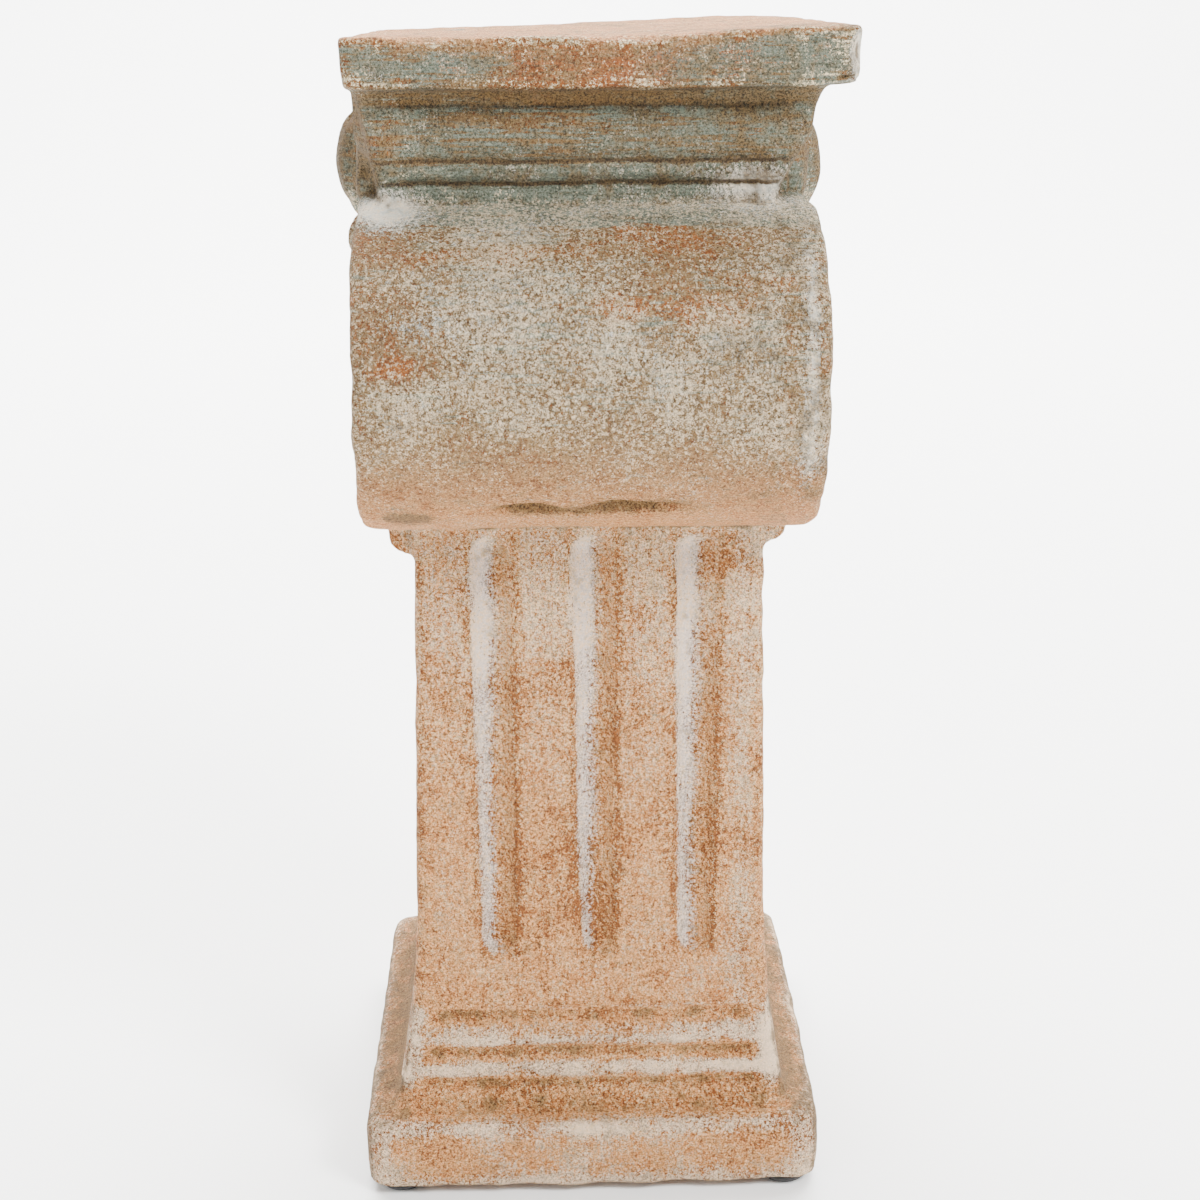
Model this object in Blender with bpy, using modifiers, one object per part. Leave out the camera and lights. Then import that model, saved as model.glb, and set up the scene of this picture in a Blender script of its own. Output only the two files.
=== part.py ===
"""A small square column of painted clay in the Ionic manner, on four rubber feet.

The clay is one piece: a plinth and base mouldings, a tapering fluted shaft, a capital of two
rolls whose ends are carved as volutes, egg-and-dart between them, a moulded neck and a square
abacus. The rolls face front and back (-Y and +Y), the volutes face -X and +X.

Metres, +Z up. The origin is on the ground, under the middle of the column.
"""

import math

import bpy
import bmesh
from mathutils import Matrix, Vector

# Rubber feet
FOOT_RADIUS = 0.0092
FOOT_TREAD_RADIUS = 0.0078
FOOT_HEIGHT = 0.0032
FOOT_EDGE_ROUND = 0.0008
FOOT_INSET = 0.0020
CONTACT_GAP = 0.0003

# Plinth
PLINTH_HALF = 0.0741
PLINTH_HEIGHT = 0.0235
PLINTH_TOP_ROUND = 0.0036
PLINTH_BOTTOM_ROUND = 0.0015
PLINTH_CORNER = 0.0080

# Base block and its mouldings
SCOTIA_HEIGHT = 0.0070
BASE_FOOT_HALF = 0.0625
BASE_HEIGHT = 0.0270
BASE_CORNER = 0.0040
BASE_GROOVE_HEIGHTS = (0.0008, 0.0107, 0.0232)
BASE_GROOVE_DEPTHS = (0.0013, 0.0018, 0.0017)
BASE_GROOVE_RADII = (0.0030, 0.0034, 0.0042)
BASE_GROOVE_END_MARGIN = 0.0085

# Shaft
SHAFT_FOOT_HALF = 0.0564
SHAFT_TOP_HALF = 0.0527
SHAFT_HEIGHT = 0.1605
SHAFT_CORNER = 0.0026
APOPHYGE_HEIGHT = 0.0380
APOPHYGE_REACH = 0.0016

# Flutes, three on each face
FLUTES_PER_FACE = 3
FLUTE_WIDTH = 0.0132
FLUTE_DEPTH = 0.0040
FLUTE_SPACING = 0.0314
FLUTE_SHIFT = 0.0015
FLUTE_BOTTOM_MARGIN = 0.0165
FLUTE_TOP_MARGIN = 0.0030

# Rolls of the capital and their volutes
ROLL_RADIUS = 0.0490
ROLL_MEETING = 0.0030
ROLL_HALF_LENGTH = 0.0657
ROLL_SHAFT_OVERLAP = 0.0010
ROLL_EDGE_ROUND = 0.0030
ROLL_FACETS = 42
VOLUTE_RECESS = 0.0028
CORE_RECESS = 0.0016
VOLUTE_TURNS = 2.2
VOLUTE_FILLET_RADIUS = 0.0034
VOLUTE_INNER_RADIUS = 0.0125
VOLUTE_START_DEGREES = -50.0
VOLUTE_SINK = 0.0007
VOLUTE_THINNING = 0.45
EYE_RADIUS = 0.0080
EYE_HEIGHT = 0.0040

# Neck between the rolls and the abacus
NECK_BOTTOM_HALF_X = 0.0595
NECK_TOP_HALF_X = 0.0648
NECK_BOTTOM_HALF_Y = 0.0590
NECK_TOP_HALF_Y = 0.0622
NECK_CORNER = 0.0040
NECK_SINK = 0.0005
NECK_HEIGHT = 0.0305
NECK_CAVETTO_HEIGHT = 0.0050
NECK_CAVETTO_REACH = 0.0030
NECK_GROOVE_HEIGHTS = (0.0044, 0.0115, 0.0262)
NECK_GROOVE_DEPTHS = (0.0023, 0.0017, 0.0021)
NECK_GROOVE_RADII = (0.0027, 0.0021, 0.0032)
NECK_GROOVE_END_MARGIN = 0.0100
NECK_CHAMFER = 0.0140
NECK_CHAMFER_OUTSET = (0.0039, 0.0014, 0.0025)

# Abacus
ABACUS_HALF = 0.0712
ABACUS_SHIFT_X = 0.0034
ABACUS_HEIGHT = 0.0143
ABACUS_EDGE_ROUND = 0.0016

# Egg-and-dart on the volute faces
EGGS_PER_FACE = 5
EGG_SPACING = 0.0205
EGG_HALF_WIDTH = 0.0076
EGG_HALF_HEIGHT = 0.0165
EGG_TAPER = 0.22
EGG_STAND_OUT = 0.0055
EGG_ROOT = 0.0040
EGG_DROP = 0.0240
ECHINUS_STAND_OUT = 0.0048
ECHINUS_HALF_HEIGHT = 0.0205
ECHINUS_END_RADIUS = 0.0060
ECHINUS_HALF_LENGTH = 0.0540
ECHINUS_PLAN_RADIUS = 0.1000
DART_HALF_WIDTH = 0.0018
DART_STAND_OUT = 0.0035
DART_ROOT = 0.0040
DART_EXTRA_HEIGHT = 0.0013
LEAF_DROP = 0.0380
LEAF_LENGTH = 0.0310
LEAF_SIDE_LENGTH = 0.0235
LEAF_HALF_WIDTH = 0.0055
LEAF_STAND_OUT = 0.0025
LEAF_ROOT = 0.0095
LEAF_SPREAD_DEGREES = 33.0

# Astragal below the volutes
ASTRAGAL_RADIUS = 0.0062
ASTRAGAL_PROUD = 0.0080
ASTRAGAL_DROP = 0.0025

# Faces with a repeated form, as turns about the vertical axis
FACE_TURNS = (0.0, math.pi / 2, math.pi, 3 * math.pi / 2)
VOLUTE_SIDES = (-1, 1)
ROLL_SIDES = (-1, 1)

# The two rolls pass the middle by a little, so that they join
ROLL_OFFSET = ROLL_RADIUS - ROLL_MEETING

# Levels from the ground up, each set on the one below
PLINTH_UNDERSIDE = FOOT_HEIGHT + CONTACT_GAP
PLINTH_TOP = PLINTH_UNDERSIDE + PLINTH_HEIGHT
BASE_FOOT = PLINTH_TOP + SCOTIA_HEIGHT
SHAFT_FOOT = BASE_FOOT + BASE_HEIGHT
SHAFT_TOP = SHAFT_FOOT + SHAFT_HEIGHT
ROLL_CENTRE = SHAFT_TOP + ROLL_RADIUS - ROLL_SHAFT_OVERLAP
ROLL_TOP = ROLL_CENTRE + ROLL_RADIUS
NECK_FOOT = ROLL_TOP - NECK_SINK
NECK_TOP = NECK_FOOT + NECK_HEIGHT
EMBED = 0.0030

# How far the carving on the volute faces stands from the middle, each set on the one below
ECHINUS_PROUD = ROLL_HALF_LENGTH + ECHINUS_STAND_OUT
EGG_PROUD = ECHINUS_PROUD + EGG_STAND_OUT
EGG_DEPTH = EGG_STAND_OUT + EGG_ROOT
DART_DEPTH = DART_STAND_OUT + DART_ROOT
DART_HALF_HEIGHT = EGG_HALF_HEIGHT + DART_EXTRA_HEIGHT
LEAF_PROUD = ECHINUS_PROUD + LEAF_STAND_OUT
LEAF_DEPTH = LEAF_STAND_OUT + LEAF_ROOT

# Edges sharper than this are shaded as edges
SHARP_ANGLE = math.radians(35.0)

CLAY_COLOUR = (0.56, 0.40, 0.29, 1.0)
RUBBER_COLOUR = (0.012, 0.012, 0.013, 1.0)


def clear_scene():
    """Remove the objects that the file opened with."""
    for item in list(bpy.data.objects):
        bpy.data.objects.remove(item, do_unlink=True)


def new_collection(name):
    collection = bpy.data.collections.new(name)
    bpy.context.scene.collection.children.link(collection)
    return collection


def new_material(name, colour, roughness):
    material = bpy.data.materials.new(name)
    material.use_nodes = True
    shader = material.node_tree.nodes["Principled BSDF"]
    shader.inputs["Base Color"].default_value = colour
    shader.inputs["Roughness"].default_value = roughness
    shader.inputs["Metallic"].default_value = 0.0
    material.diffuse_color = colour
    return material


def shade_round(mesh):
    """Shade a mesh smooth between its sharp edges."""
    mesh.shade_smooth()
    mesh.set_sharp_from_angle(angle=SHARP_ANGLE)


def object_from_bmesh(name, form, collection):
    """Turn a bmesh into an object with its faces pointing out."""
    bmesh.ops.recalc_face_normals(form, faces=form.faces)
    mesh = bpy.data.meshes.new(name)
    form.to_mesh(mesh)
    form.free()
    shade_round(mesh)
    item = bpy.data.objects.new(name, mesh)
    collection.objects.link(item)
    return item


def join_forms(name, forms, collection):
    """Put several separate closed forms into one object."""
    whole = bmesh.new()
    for form in forms:
        piece = bpy.data.meshes.new("piece")
        bmesh.ops.recalc_face_normals(form, faces=form.faces)
        form.to_mesh(piece)
        form.free()
        whole.from_mesh(piece)
        bpy.data.meshes.remove(piece)
    mesh = bpy.data.meshes.new(name)
    whole.to_mesh(mesh)
    whole.free()
    shade_round(mesh)
    item = bpy.data.objects.new(name, mesh)
    collection.objects.link(item)
    return item


def as_tool(item):
    """Mark an object as one that shapes another and isn't a part itself."""
    item.hide_render = True
    item.display_type = "WIRE"
    return item


def combine(target, operation, tool):
    """Join or cut with an exact Boolean."""
    modifier = target.modifiers.new(operation.lower() + "_" + tool.name, "BOOLEAN")
    modifier.operation = operation
    modifier.solver = "EXACT"
    modifier.object = as_tool(tool)


def rounded_square(half_x, half_y, corner, z, steps=3):
    """A level ring of points: a rectangle with quarter-circle corners."""
    ring = []
    corners = ((1, 1, 0.0), (-1, 1, 90.0), (-1, -1, 180.0), (1, -1, 270.0))
    for side_x, side_y, start in corners:
        centre = Vector((side_x * (half_x - corner), side_y * (half_y - corner), z))
        for step in range(steps + 1):
            angle = math.radians(start + 90.0 * step / steps)
            ring.append(centre + Vector((math.cos(angle), math.sin(angle), 0.0)) * corner)
    return ring


def loft(rings):
    """Skin a row of rings that all have the same number of points."""
    form = bmesh.new()
    rows = [[form.verts.new(point) for point in ring] for ring in rings]
    count = len(rows[0])
    for lower, upper in zip(rows, rows[1:]):
        for index in range(count):
            following = (index + 1) % count
            form.faces.new((lower[index], lower[following], upper[following], upper[index]))
    form.faces.new(reversed(rows[0]))
    form.faces.new(rows[-1])
    return form


def capsule(length, radius, sides=12, rings=7):
    """A round bar along Z with half-ball ends, length measured between the ball centres."""
    form = bmesh.new()
    bmesh.ops.create_uvsphere(form, u_segments=sides, v_segments=rings, radius=radius)
    for vertex in form.verts:
        vertex.co.z += math.copysign(length / 2, vertex.co.z)
    return form


def ellipsoid(half_x, half_y, half_z, sides=10, rings=7):
    form = bmesh.new()
    bmesh.ops.create_uvsphere(form, u_segments=sides, v_segments=rings, radius=1.0)
    bmesh.ops.scale(form, vec=(half_x, half_y, half_z), verts=form.verts)
    return form


def placed(form, matrix):
    bmesh.ops.transform(form, matrix=matrix, verts=form.verts)
    return form


def shaft_half(z):
    """Half width of the shaft's straight taper at a height."""
    share = (z - SHAFT_FOOT) / SHAFT_HEIGHT
    return SHAFT_FOOT_HALF + (SHAFT_TOP_HALF - SHAFT_FOOT_HALF) * share


def base_half(z):
    """Half width of the base block at a height: a straight slope up to the shaft."""
    share = (z - BASE_FOOT) / BASE_HEIGHT
    top = SHAFT_FOOT_HALF + APOPHYGE_REACH
    return BASE_FOOT_HALF + (top - BASE_FOOT_HALF) * share


def stem_outline():
    """Points (z, half width, corner radius) from the plinth's underside to the shaft's top."""
    points = []
    for step in range(3):
        angle = math.radians(45.0 * step)
        half = PLINTH_HALF - PLINTH_BOTTOM_ROUND * (1 - math.sin(angle))
        z = PLINTH_UNDERSIDE + PLINTH_BOTTOM_ROUND * (1 - math.cos(angle))
        points.append((z, half, PLINTH_CORNER))
    for step in range(4):
        angle = math.radians(30.0 * step)
        half = PLINTH_HALF - PLINTH_TOP_ROUND * (1 - math.cos(angle))
        z = PLINTH_TOP - PLINTH_TOP_ROUND * (1 - math.sin(angle))
        points.append((z, half, PLINTH_CORNER))
    scotia_reach = PLINTH_HALF - PLINTH_TOP_ROUND - BASE_FOOT_HALF
    for step in range(1, 6):
        angle = math.radians(18.0 * step)
        share = step / 5
        half = BASE_FOOT_HALF + scotia_reach * (1 - math.sin(angle))
        z = BASE_FOOT - SCOTIA_HEIGHT * math.cos(angle)
        corner = PLINTH_CORNER + (BASE_CORNER - PLINTH_CORNER) * share
        points.append((z, half, corner))
    points.append((SHAFT_FOOT, base_half(SHAFT_FOOT), SHAFT_CORNER))
    for step in range(1, 5):
        share = step / 4
        z = SHAFT_FOOT + APOPHYGE_HEIGHT * share
        half = shaft_half(z) + APOPHYGE_REACH * (1 - share) ** 2
        points.append((z, half, SHAFT_CORNER))
    points.append((SHAFT_TOP, SHAFT_TOP_HALF, SHAFT_CORNER))
    return points


def make_stem(tools):
    rings = [rounded_square(half, half, corner, z) for z, half, corner in stem_outline()]
    return object_from_bmesh("stem_form", loft(rings), tools)


def make_flutes(tools):
    """Round-ended channels, three to a face, sunk along the shaft's taper."""
    radius = (FLUTE_WIDTH ** 2 / 4 + FLUTE_DEPTH ** 2) / (2 * FLUTE_DEPTH)
    bottom = SHAFT_FOOT + FLUTE_BOTTOM_MARGIN + FLUTE_WIDTH / 2
    top = SHAFT_TOP - FLUTE_TOP_MARGIN - FLUTE_WIDTH / 2
    outset = radius - FLUTE_DEPTH
    lean = math.atan2(shaft_half(bottom) - shaft_half(top), top - bottom)
    middle = (bottom + top) / 2
    forms = []
    for turn in FACE_TURNS:
        for index in range(FLUTES_PER_FACE):
            across = FLUTE_SHIFT + (index - (FLUTES_PER_FACE - 1) / 2) * FLUTE_SPACING
            place = Matrix.Translation((across, -shaft_half(middle) - outset, middle))
            tilt = Matrix.Rotation(-lean, 4, "X")
            matrix = Matrix.Rotation(turn, 4, "Z") @ place @ tilt
            forms.append(placed(capsule(top - bottom, radius), matrix))
    return join_forms("flute_cutter", forms, tools)


def groove_bars(half_length, face_offset, z, depth, radius, turns):
    """Round bars that sink a level groove into each face, with its ends run out."""
    forms = []
    along = Matrix.Rotation(math.pi / 2, 4, "Y")
    for turn in turns:
        place = Matrix.Translation((0.0, -(face_offset - depth + radius), z))
        matrix = Matrix.Rotation(turn, 4, "Z") @ place @ along
        forms.append(placed(capsule(2 * half_length, radius, 8, 5), matrix))
    return forms


def make_base_grooves(tools):
    """Grooves that leave two beads standing on each face of the base block."""
    cutters = []
    sizes = zip(BASE_GROOVE_HEIGHTS, BASE_GROOVE_DEPTHS, BASE_GROOVE_RADII)
    for index, (rise, depth, radius) in enumerate(sizes):
        z = BASE_FOOT + rise
        half = base_half(z)
        length = half - BASE_GROOVE_END_MARGIN
        bars = groove_bars(length, half, z, depth, radius, FACE_TURNS)
        cutters.append(join_forms("base_groove_cutter_%d" % (index + 1), bars, tools))
    return cutters


def turned_bar(name, profile, steps, start, tools):
    """A form turned about its own Z: the profile holds (distance along Z, radius) points.

    The first facet starts at the angle start.
    """
    mesh = bpy.data.meshes.new(name)
    cosine, sine = math.cos(start), math.sin(start)
    points = [(radius * cosine, radius * sine, along) for along, radius in profile]
    edges = [(index, index + 1) for index in range(len(points) - 1)]
    mesh.from_pydata(points, edges, [])
    item = bpy.data.objects.new(name, mesh)
    tools.objects.link(item)
    screw = item.modifiers.new("turn", "SCREW")
    screw.angle = 2 * math.pi
    screw.steps = steps
    screw.render_steps = steps
    screw.use_merge_vertices = True
    screw.merge_threshold = 0.0001
    return item


def make_roll(side, tools):
    """One roll of the capital, along X, with its ends sunk a little for the volutes.

    The back roll is turned by half a facet, so the two rolls share no edge where they meet.
    """
    end = ROLL_HALF_LENGTH
    rim = ROLL_RADIUS - ROLL_EDGE_ROUND
    recess_radius = rim - ROLL_EDGE_ROUND / 2
    outer = [(end - VOLUTE_RECESS, 0.0), (end - VOLUTE_RECESS, recess_radius), (end, rim)]
    for step in range(1, 4):
        angle = math.radians(30.0 * step)
        along = end - ROLL_EDGE_ROUND * (1 - math.cos(angle))
        outer.append((along, rim + ROLL_EDGE_ROUND * math.sin(angle)))
    profile = outer + [(-along, radius) for along, radius in reversed(outer)]
    start = math.pi / ROLL_FACETS if side > 0 else 0.0
    name = "roll_form_%s" % ("front" if side < 0 else "back")
    item = turned_bar(name, profile, ROLL_FACETS, start, tools)
    item.rotation_euler = (0.0, math.pi / 2, 0.0)
    item.location = (0.0, side * ROLL_OFFSET, ROLL_CENTRE)
    return item


def volute_path(points_per_turn=13):
    """The spiral's points (across, up) about the eye, from the rim inwards.

    The radius shrinks by the same share with each degree, as in a shell.
    """
    first = ROLL_RADIUS - ROLL_EDGE_ROUND - VOLUTE_FILLET_RADIUS / 2
    count = int(VOLUTE_TURNS * points_per_turn)
    path = []
    for index in range(count + 1):
        share = index / count
        radius = first * (VOLUTE_INNER_RADIUS / first) ** share
        angle = math.radians(VOLUTE_START_DEGREES) + share * VOLUTE_TURNS * 2 * math.pi
        path.append((radius * math.sin(angle), radius * math.cos(angle)))
    return path


def make_volute(end_side, roll_side, tools):
    """The raised fillet of one volute, thinning towards the eye."""
    name = "volute_%s_%s" % ("left" if end_side < 0 else "right", "front" if roll_side < 0 else "back")
    curve = bpy.data.curves.new(name, "CURVE")
    curve.dimensions = "3D"
    curve.bevel_depth = VOLUTE_FILLET_RADIUS
    curve.bevel_resolution = 1
    curve.use_fill_caps = True
    path = volute_path()
    spline = curve.splines.new("POLY")
    spline.points.add(len(path) - 1)
    depth = end_side * (ROLL_HALF_LENGTH - VOLUTE_RECESS - VOLUTE_SINK)
    for index, (across, up) in enumerate(path):
        place = (depth, roll_side * (ROLL_OFFSET + across), ROLL_CENTRE + up, 1.0)
        spline.points[index].co = place
        spline.points[index].radius = 1.0 - VOLUTE_THINNING * index / (len(path) - 1)
    guide = bpy.data.objects.new(name + "_guide", curve)
    tools.objects.link(guide)
    bpy.context.view_layer.update()
    evaluated = guide.evaluated_get(bpy.context.evaluated_depsgraph_get())
    mesh = bpy.data.meshes.new_from_object(evaluated)
    form = bmesh.new()
    form.from_mesh(mesh)
    bmesh.ops.remove_doubles(form, verts=form.verts, dist=0.00001)
    bmesh.ops.transform(form, matrix=guide.matrix_world, verts=form.verts)
    bpy.data.objects.remove(guide, do_unlink=True)
    bpy.data.meshes.remove(mesh)
    return object_from_bmesh(name, form, tools)


def make_eyes(tools):
    """A round button in the middle of each volute."""
    forms = []
    for end_side in VOLUTE_SIDES:
        for roll_side in ROLL_SIDES:
            across = roll_side * ROLL_OFFSET
            depth = end_side * (ROLL_HALF_LENGTH - VOLUTE_RECESS - VOLUTE_SINK)
            button = ellipsoid(EYE_HEIGHT, EYE_RADIUS, EYE_RADIUS, 10, 5)
            place = (depth, across, ROLL_CENTRE)
            forms.append(placed(button, Matrix.Translation(place)))
    return join_forms("volute_eyes", forms, tools)


def make_core(tools):
    """The block that fills the space between the two rolls, a little behind their ends."""
    half_x = ROLL_HALF_LENGTH - VOLUTE_RECESS - CORE_RECESS
    rings = []
    for z in (SHAFT_TOP - ROLL_SHAFT_OVERLAP, NECK_FOOT + EMBED):
        rings.append(rounded_square(half_x, ROLL_OFFSET - EMBED, SHAFT_CORNER, z))
    return object_from_bmesh("core_form", loft(rings), tools)


def neck_half_y(z):
    """Half depth of the neck at a height, without its cavetto."""
    share = (z - NECK_FOOT) / NECK_HEIGHT
    return NECK_BOTTOM_HALF_Y + (NECK_TOP_HALF_Y - NECK_BOTTOM_HALF_Y) * share


def make_neck(tools):
    """The neck widens upwards and ends in a hollow curve under the abacus."""
    rings = []
    levels = [NECK_FOOT - 3 * EMBED, NECK_FOOT, NECK_TOP - NECK_CAVETTO_HEIGHT]
    for z in levels:
        share = max(0.0, (z - NECK_FOOT) / NECK_HEIGHT)
        half_x = NECK_BOTTOM_HALF_X + (NECK_TOP_HALF_X - NECK_BOTTOM_HALF_X) * share
        rings.append(rounded_square(half_x, neck_half_y(max(z, NECK_FOOT)), NECK_CORNER, z))
    for step in range(1, 4):
        angle = math.radians(30.0 * step)
        z = NECK_TOP - NECK_CAVETTO_HEIGHT * (1 - math.sin(angle))
        flare = NECK_CAVETTO_REACH * (1 - math.cos(angle))
        half_y = neck_half_y(z) + flare
        rings.append(rounded_square(NECK_TOP_HALF_X + flare / 2, half_y, NECK_CORNER, z))
    top = rings[-1]
    rings.append([point + Vector((0.0, 0.0, EMBED)) for point in top])
    return object_from_bmesh("neck_form", loft(rings), tools)


def make_neck_grooves(tools):
    """Level grooves across the front and back of the neck, between plain corners."""
    cutters = []
    turns = (FACE_TURNS[0], FACE_TURNS[2])
    sizes = zip(NECK_GROOVE_HEIGHTS, NECK_GROOVE_DEPTHS, NECK_GROOVE_RADII)
    for index, (rise, depth, radius) in enumerate(sizes):
        z = NECK_FOOT + rise
        length = NECK_BOTTOM_HALF_X - NECK_GROOVE_END_MARGIN
        bars = groove_bars(length, neck_half_y(z), z, depth, radius, turns)
        cutters.append(join_forms("neck_groove_cutter_%d" % (index + 1), bars, tools))
    return cutters


def make_neck_chamfers(tools):
    """Sloping cuts that take off the neck's lower right corners, beside the eggs."""
    forms = []
    for side in ROLL_SIDES:
        form = bmesh.new()
        bmesh.ops.create_cube(form, size=1.0)
        size = (NECK_CHAMFER * 2, NECK_CHAMFER, NECK_CHAMFER)
        bmesh.ops.scale(form, vec=size, verts=form.verts)
        tilt = Matrix.Rotation(math.radians(-45.0), 4, "Y")
        x = NECK_TOP_HALF_X + NECK_CHAMFER_OUTSET[0]
        y = side * (NECK_TOP_HALF_Y + NECK_CHAMFER_OUTSET[1])
        z = NECK_FOOT + NECK_CHAMFER_OUTSET[2]
        forms.append(placed(form, Matrix.Translation((x, y, z)) @ tilt))
    return join_forms("neck_chamfer_cutter", forms, tools)


def make_abacus(tools):
    """The square slab on top, with softened edges."""
    form = bmesh.new()
    bmesh.ops.create_cube(form, size=1.0)
    size = (2 * ABACUS_HALF, 2 * ABACUS_HALF, ABACUS_HEIGHT)
    bmesh.ops.scale(form, vec=size, verts=form.verts)
    middle = (ABACUS_SHIFT_X, 0.0, NECK_TOP + ABACUS_HEIGHT / 2)
    placed(form, Matrix.Translation(middle))
    item = object_from_bmesh("abacus_form", form, tools)
    bevel = item.modifiers.new("soft edges", "BEVEL")
    bevel.width = ABACUS_EDGE_ROUND
    bevel.segments = 2
    return item


def echinus_recess(y):
    """How far the egg-and-dart falls back from its middle, on its round plan."""
    return ECHINUS_PLAN_RADIUS - math.sqrt(ECHINUS_PLAN_RADIUS ** 2 - y ** 2)


def make_echinus(side, tools):
    """The swelling band that carries the eggs, bowed in plan, on one volute face."""
    rings = []
    straight = ECHINUS_HALF_LENGTH - ECHINUS_END_RADIUS
    stations = [(-ECHINUS_HALF_LENGTH, 0.5), (-straight, 1.0)]
    stations += [(straight * share, 1.0) for share in (-0.6, -0.2, 0.2, 0.6)]
    stations += [(straight, 1.0), (ECHINUS_HALF_LENGTH, 0.5)]
    reach = ECHINUS_PROUD - SHAFT_TOP_HALF
    for y, size in stations:
        ring = []
        for step in range(16):
            angle = math.pi * step / 8
            x = reach * size * math.cos(angle) - echinus_recess(y)
            z = NECK_TOP - EGG_DROP + ECHINUS_HALF_HEIGHT * size * math.sin(angle)
            ring.append(Vector((side * (SHAFT_TOP_HALF + x), y, z)))
        rings.append(ring)
    name = "echinus_%s" % ("left" if side < 0 else "right")
    return object_from_bmesh(name, loft(rings), tools)


def make_eggs(side, tools):
    """Eggs with a dart between each two, standing out from the band."""
    forms = []
    z = NECK_TOP - EGG_DROP
    for index in range(EGGS_PER_FACE):
        y = (index - (EGGS_PER_FACE - 1) / 2) * EGG_SPACING
        x = side * (EGG_PROUD - EGG_DEPTH - echinus_recess(y))
        egg = ellipsoid(EGG_DEPTH, EGG_HALF_WIDTH, EGG_HALF_HEIGHT, 10, 7)
        for vertex in egg.verts:
            vertex.co.y *= 1.0 + EGG_TAPER * vertex.co.z / EGG_HALF_HEIGHT
        forms.append(placed(egg, Matrix.Translation((x, y, z))))
    for index in range(EGGS_PER_FACE - 1):
        y = (index - (EGGS_PER_FACE - 2) / 2) * EGG_SPACING
        x = side * (ECHINUS_PROUD - DART_ROOT - echinus_recess(y))
        dart = ellipsoid(DART_DEPTH, DART_HALF_WIDTH, DART_HALF_HEIGHT, 6, 6)
        forms.append(placed(dart, Matrix.Translation((x, y, z))))
    return join_forms("eggs_%s" % ("left" if side < 0 else "right"), forms, tools)


def make_leaf(side, lobe, tools):
    """One lobe of the small leaf that hangs between the two volutes."""
    length = LEAF_LENGTH if lobe == 0 else LEAF_SIDE_LENGTH
    form = ellipsoid(LEAF_DEPTH, LEAF_HALF_WIDTH, length / 2, 8, 7)
    hang = Matrix.Translation((0.0, 0.0, -length / 2))
    swing = Matrix.Rotation(math.radians(LEAF_SPREAD_DEGREES * lobe), 4, "X")
    x = side * (LEAF_PROUD - LEAF_DEPTH)
    place = Matrix.Translation((x, 0.0, NECK_TOP - LEAF_DROP))
    name = "leaf_%s_%d" % ("left" if side < 0 else "right", lobe + 2)
    return object_from_bmesh(name, placed(form, place @ swing @ hang), tools)


def make_astragal(side, tools):
    """A half-round bar under the volutes, cut off square at its ends."""
    form = bmesh.new()
    bmesh.ops.create_cone(form, cap_ends=True, segments=16, radius1=ASTRAGAL_RADIUS,
                          radius2=ASTRAGAL_RADIUS, depth=2 * (SHAFT_TOP_HALF - SHAFT_CORNER))
    z = ROLL_CENTRE - ROLL_RADIUS - ASTRAGAL_DROP
    x = side * (shaft_half(z) + ASTRAGAL_PROUD - ASTRAGAL_RADIUS)
    along = Matrix.Rotation(math.pi / 2, 4, "X")
    name = "astragal_%s" % ("left" if side < 0 else "right")
    return object_from_bmesh(name, placed(form, Matrix.Translation((x, 0.0, z)) @ along), tools)


def make_body(parts, tools, clay):
    """Join every clay form into one solid, then sink the flutes and grooves into it."""
    body = bpy.data.objects.new("column_body", make_stem(tools).data)
    parts.objects.link(body)
    bpy.data.objects.remove(bpy.data.objects["stem_form"], do_unlink=True)
    body.data.materials.append(clay)
    for cutter in make_base_grooves(tools):
        combine(body, "DIFFERENCE", cutter)
    combine(body, "DIFFERENCE", make_flutes(tools))
    for side in VOLUTE_SIDES:
        combine(body, "UNION", make_astragal(side, tools))
    combine(body, "UNION", make_core(tools))
    for side in ROLL_SIDES:
        combine(body, "UNION", make_roll(side, tools))
    neck = make_neck(tools)
    for cutter in make_neck_grooves(tools) + [make_neck_chamfers(tools)]:
        combine(neck, "DIFFERENCE", cutter)
    combine(body, "UNION", neck)
    combine(body, "UNION", make_abacus(tools))
    for side in VOLUTE_SIDES:
        combine(body, "UNION", make_echinus(side, tools))
        for lobe in (-1, 0, 1):
            combine(body, "UNION", make_leaf(side, lobe, tools))
        combine(body, "UNION", make_eggs(side, tools))
        for roll_side in ROLL_SIDES:
            combine(body, "UNION", make_volute(side, roll_side, tools))
    combine(body, "UNION", make_eyes(tools))
    return body


def make_foot(name, side_x, side_y, parts, rubber):
    """One rubber bumper: a flat-topped dome that stands on its narrower tread."""
    mesh = bpy.data.meshes.new(name)
    tread = FOOT_TREAD_RADIUS - FOOT_EDGE_ROUND
    profile = [(0.0, FOOT_HEIGHT), (FOOT_RADIUS, FOOT_HEIGHT),
               (FOOT_RADIUS, FOOT_HEIGHT - FOOT_EDGE_ROUND),
               (FOOT_TREAD_RADIUS, FOOT_EDGE_ROUND), (tread, 0.0), (0.0, 0.0)]
    points = [(radius, 0.0, z) for radius, z in profile]
    edges = [(index, index + 1) for index in range(len(points) - 1)]
    mesh.from_pydata(points, edges, [])
    foot = bpy.data.objects.new(name, mesh)
    parts.objects.link(foot)
    screw = foot.modifiers.new("turn", "SCREW")
    screw.angle = 2 * math.pi
    screw.steps = 20
    screw.render_steps = 20
    screw.use_merge_vertices = True
    screw.merge_threshold = 0.0001
    centre = PLINTH_HALF - FOOT_INSET - FOOT_RADIUS
    foot.location = (side_x * centre, side_y * centre, 0.0)
    mesh.materials.append(rubber)
    return foot


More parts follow.
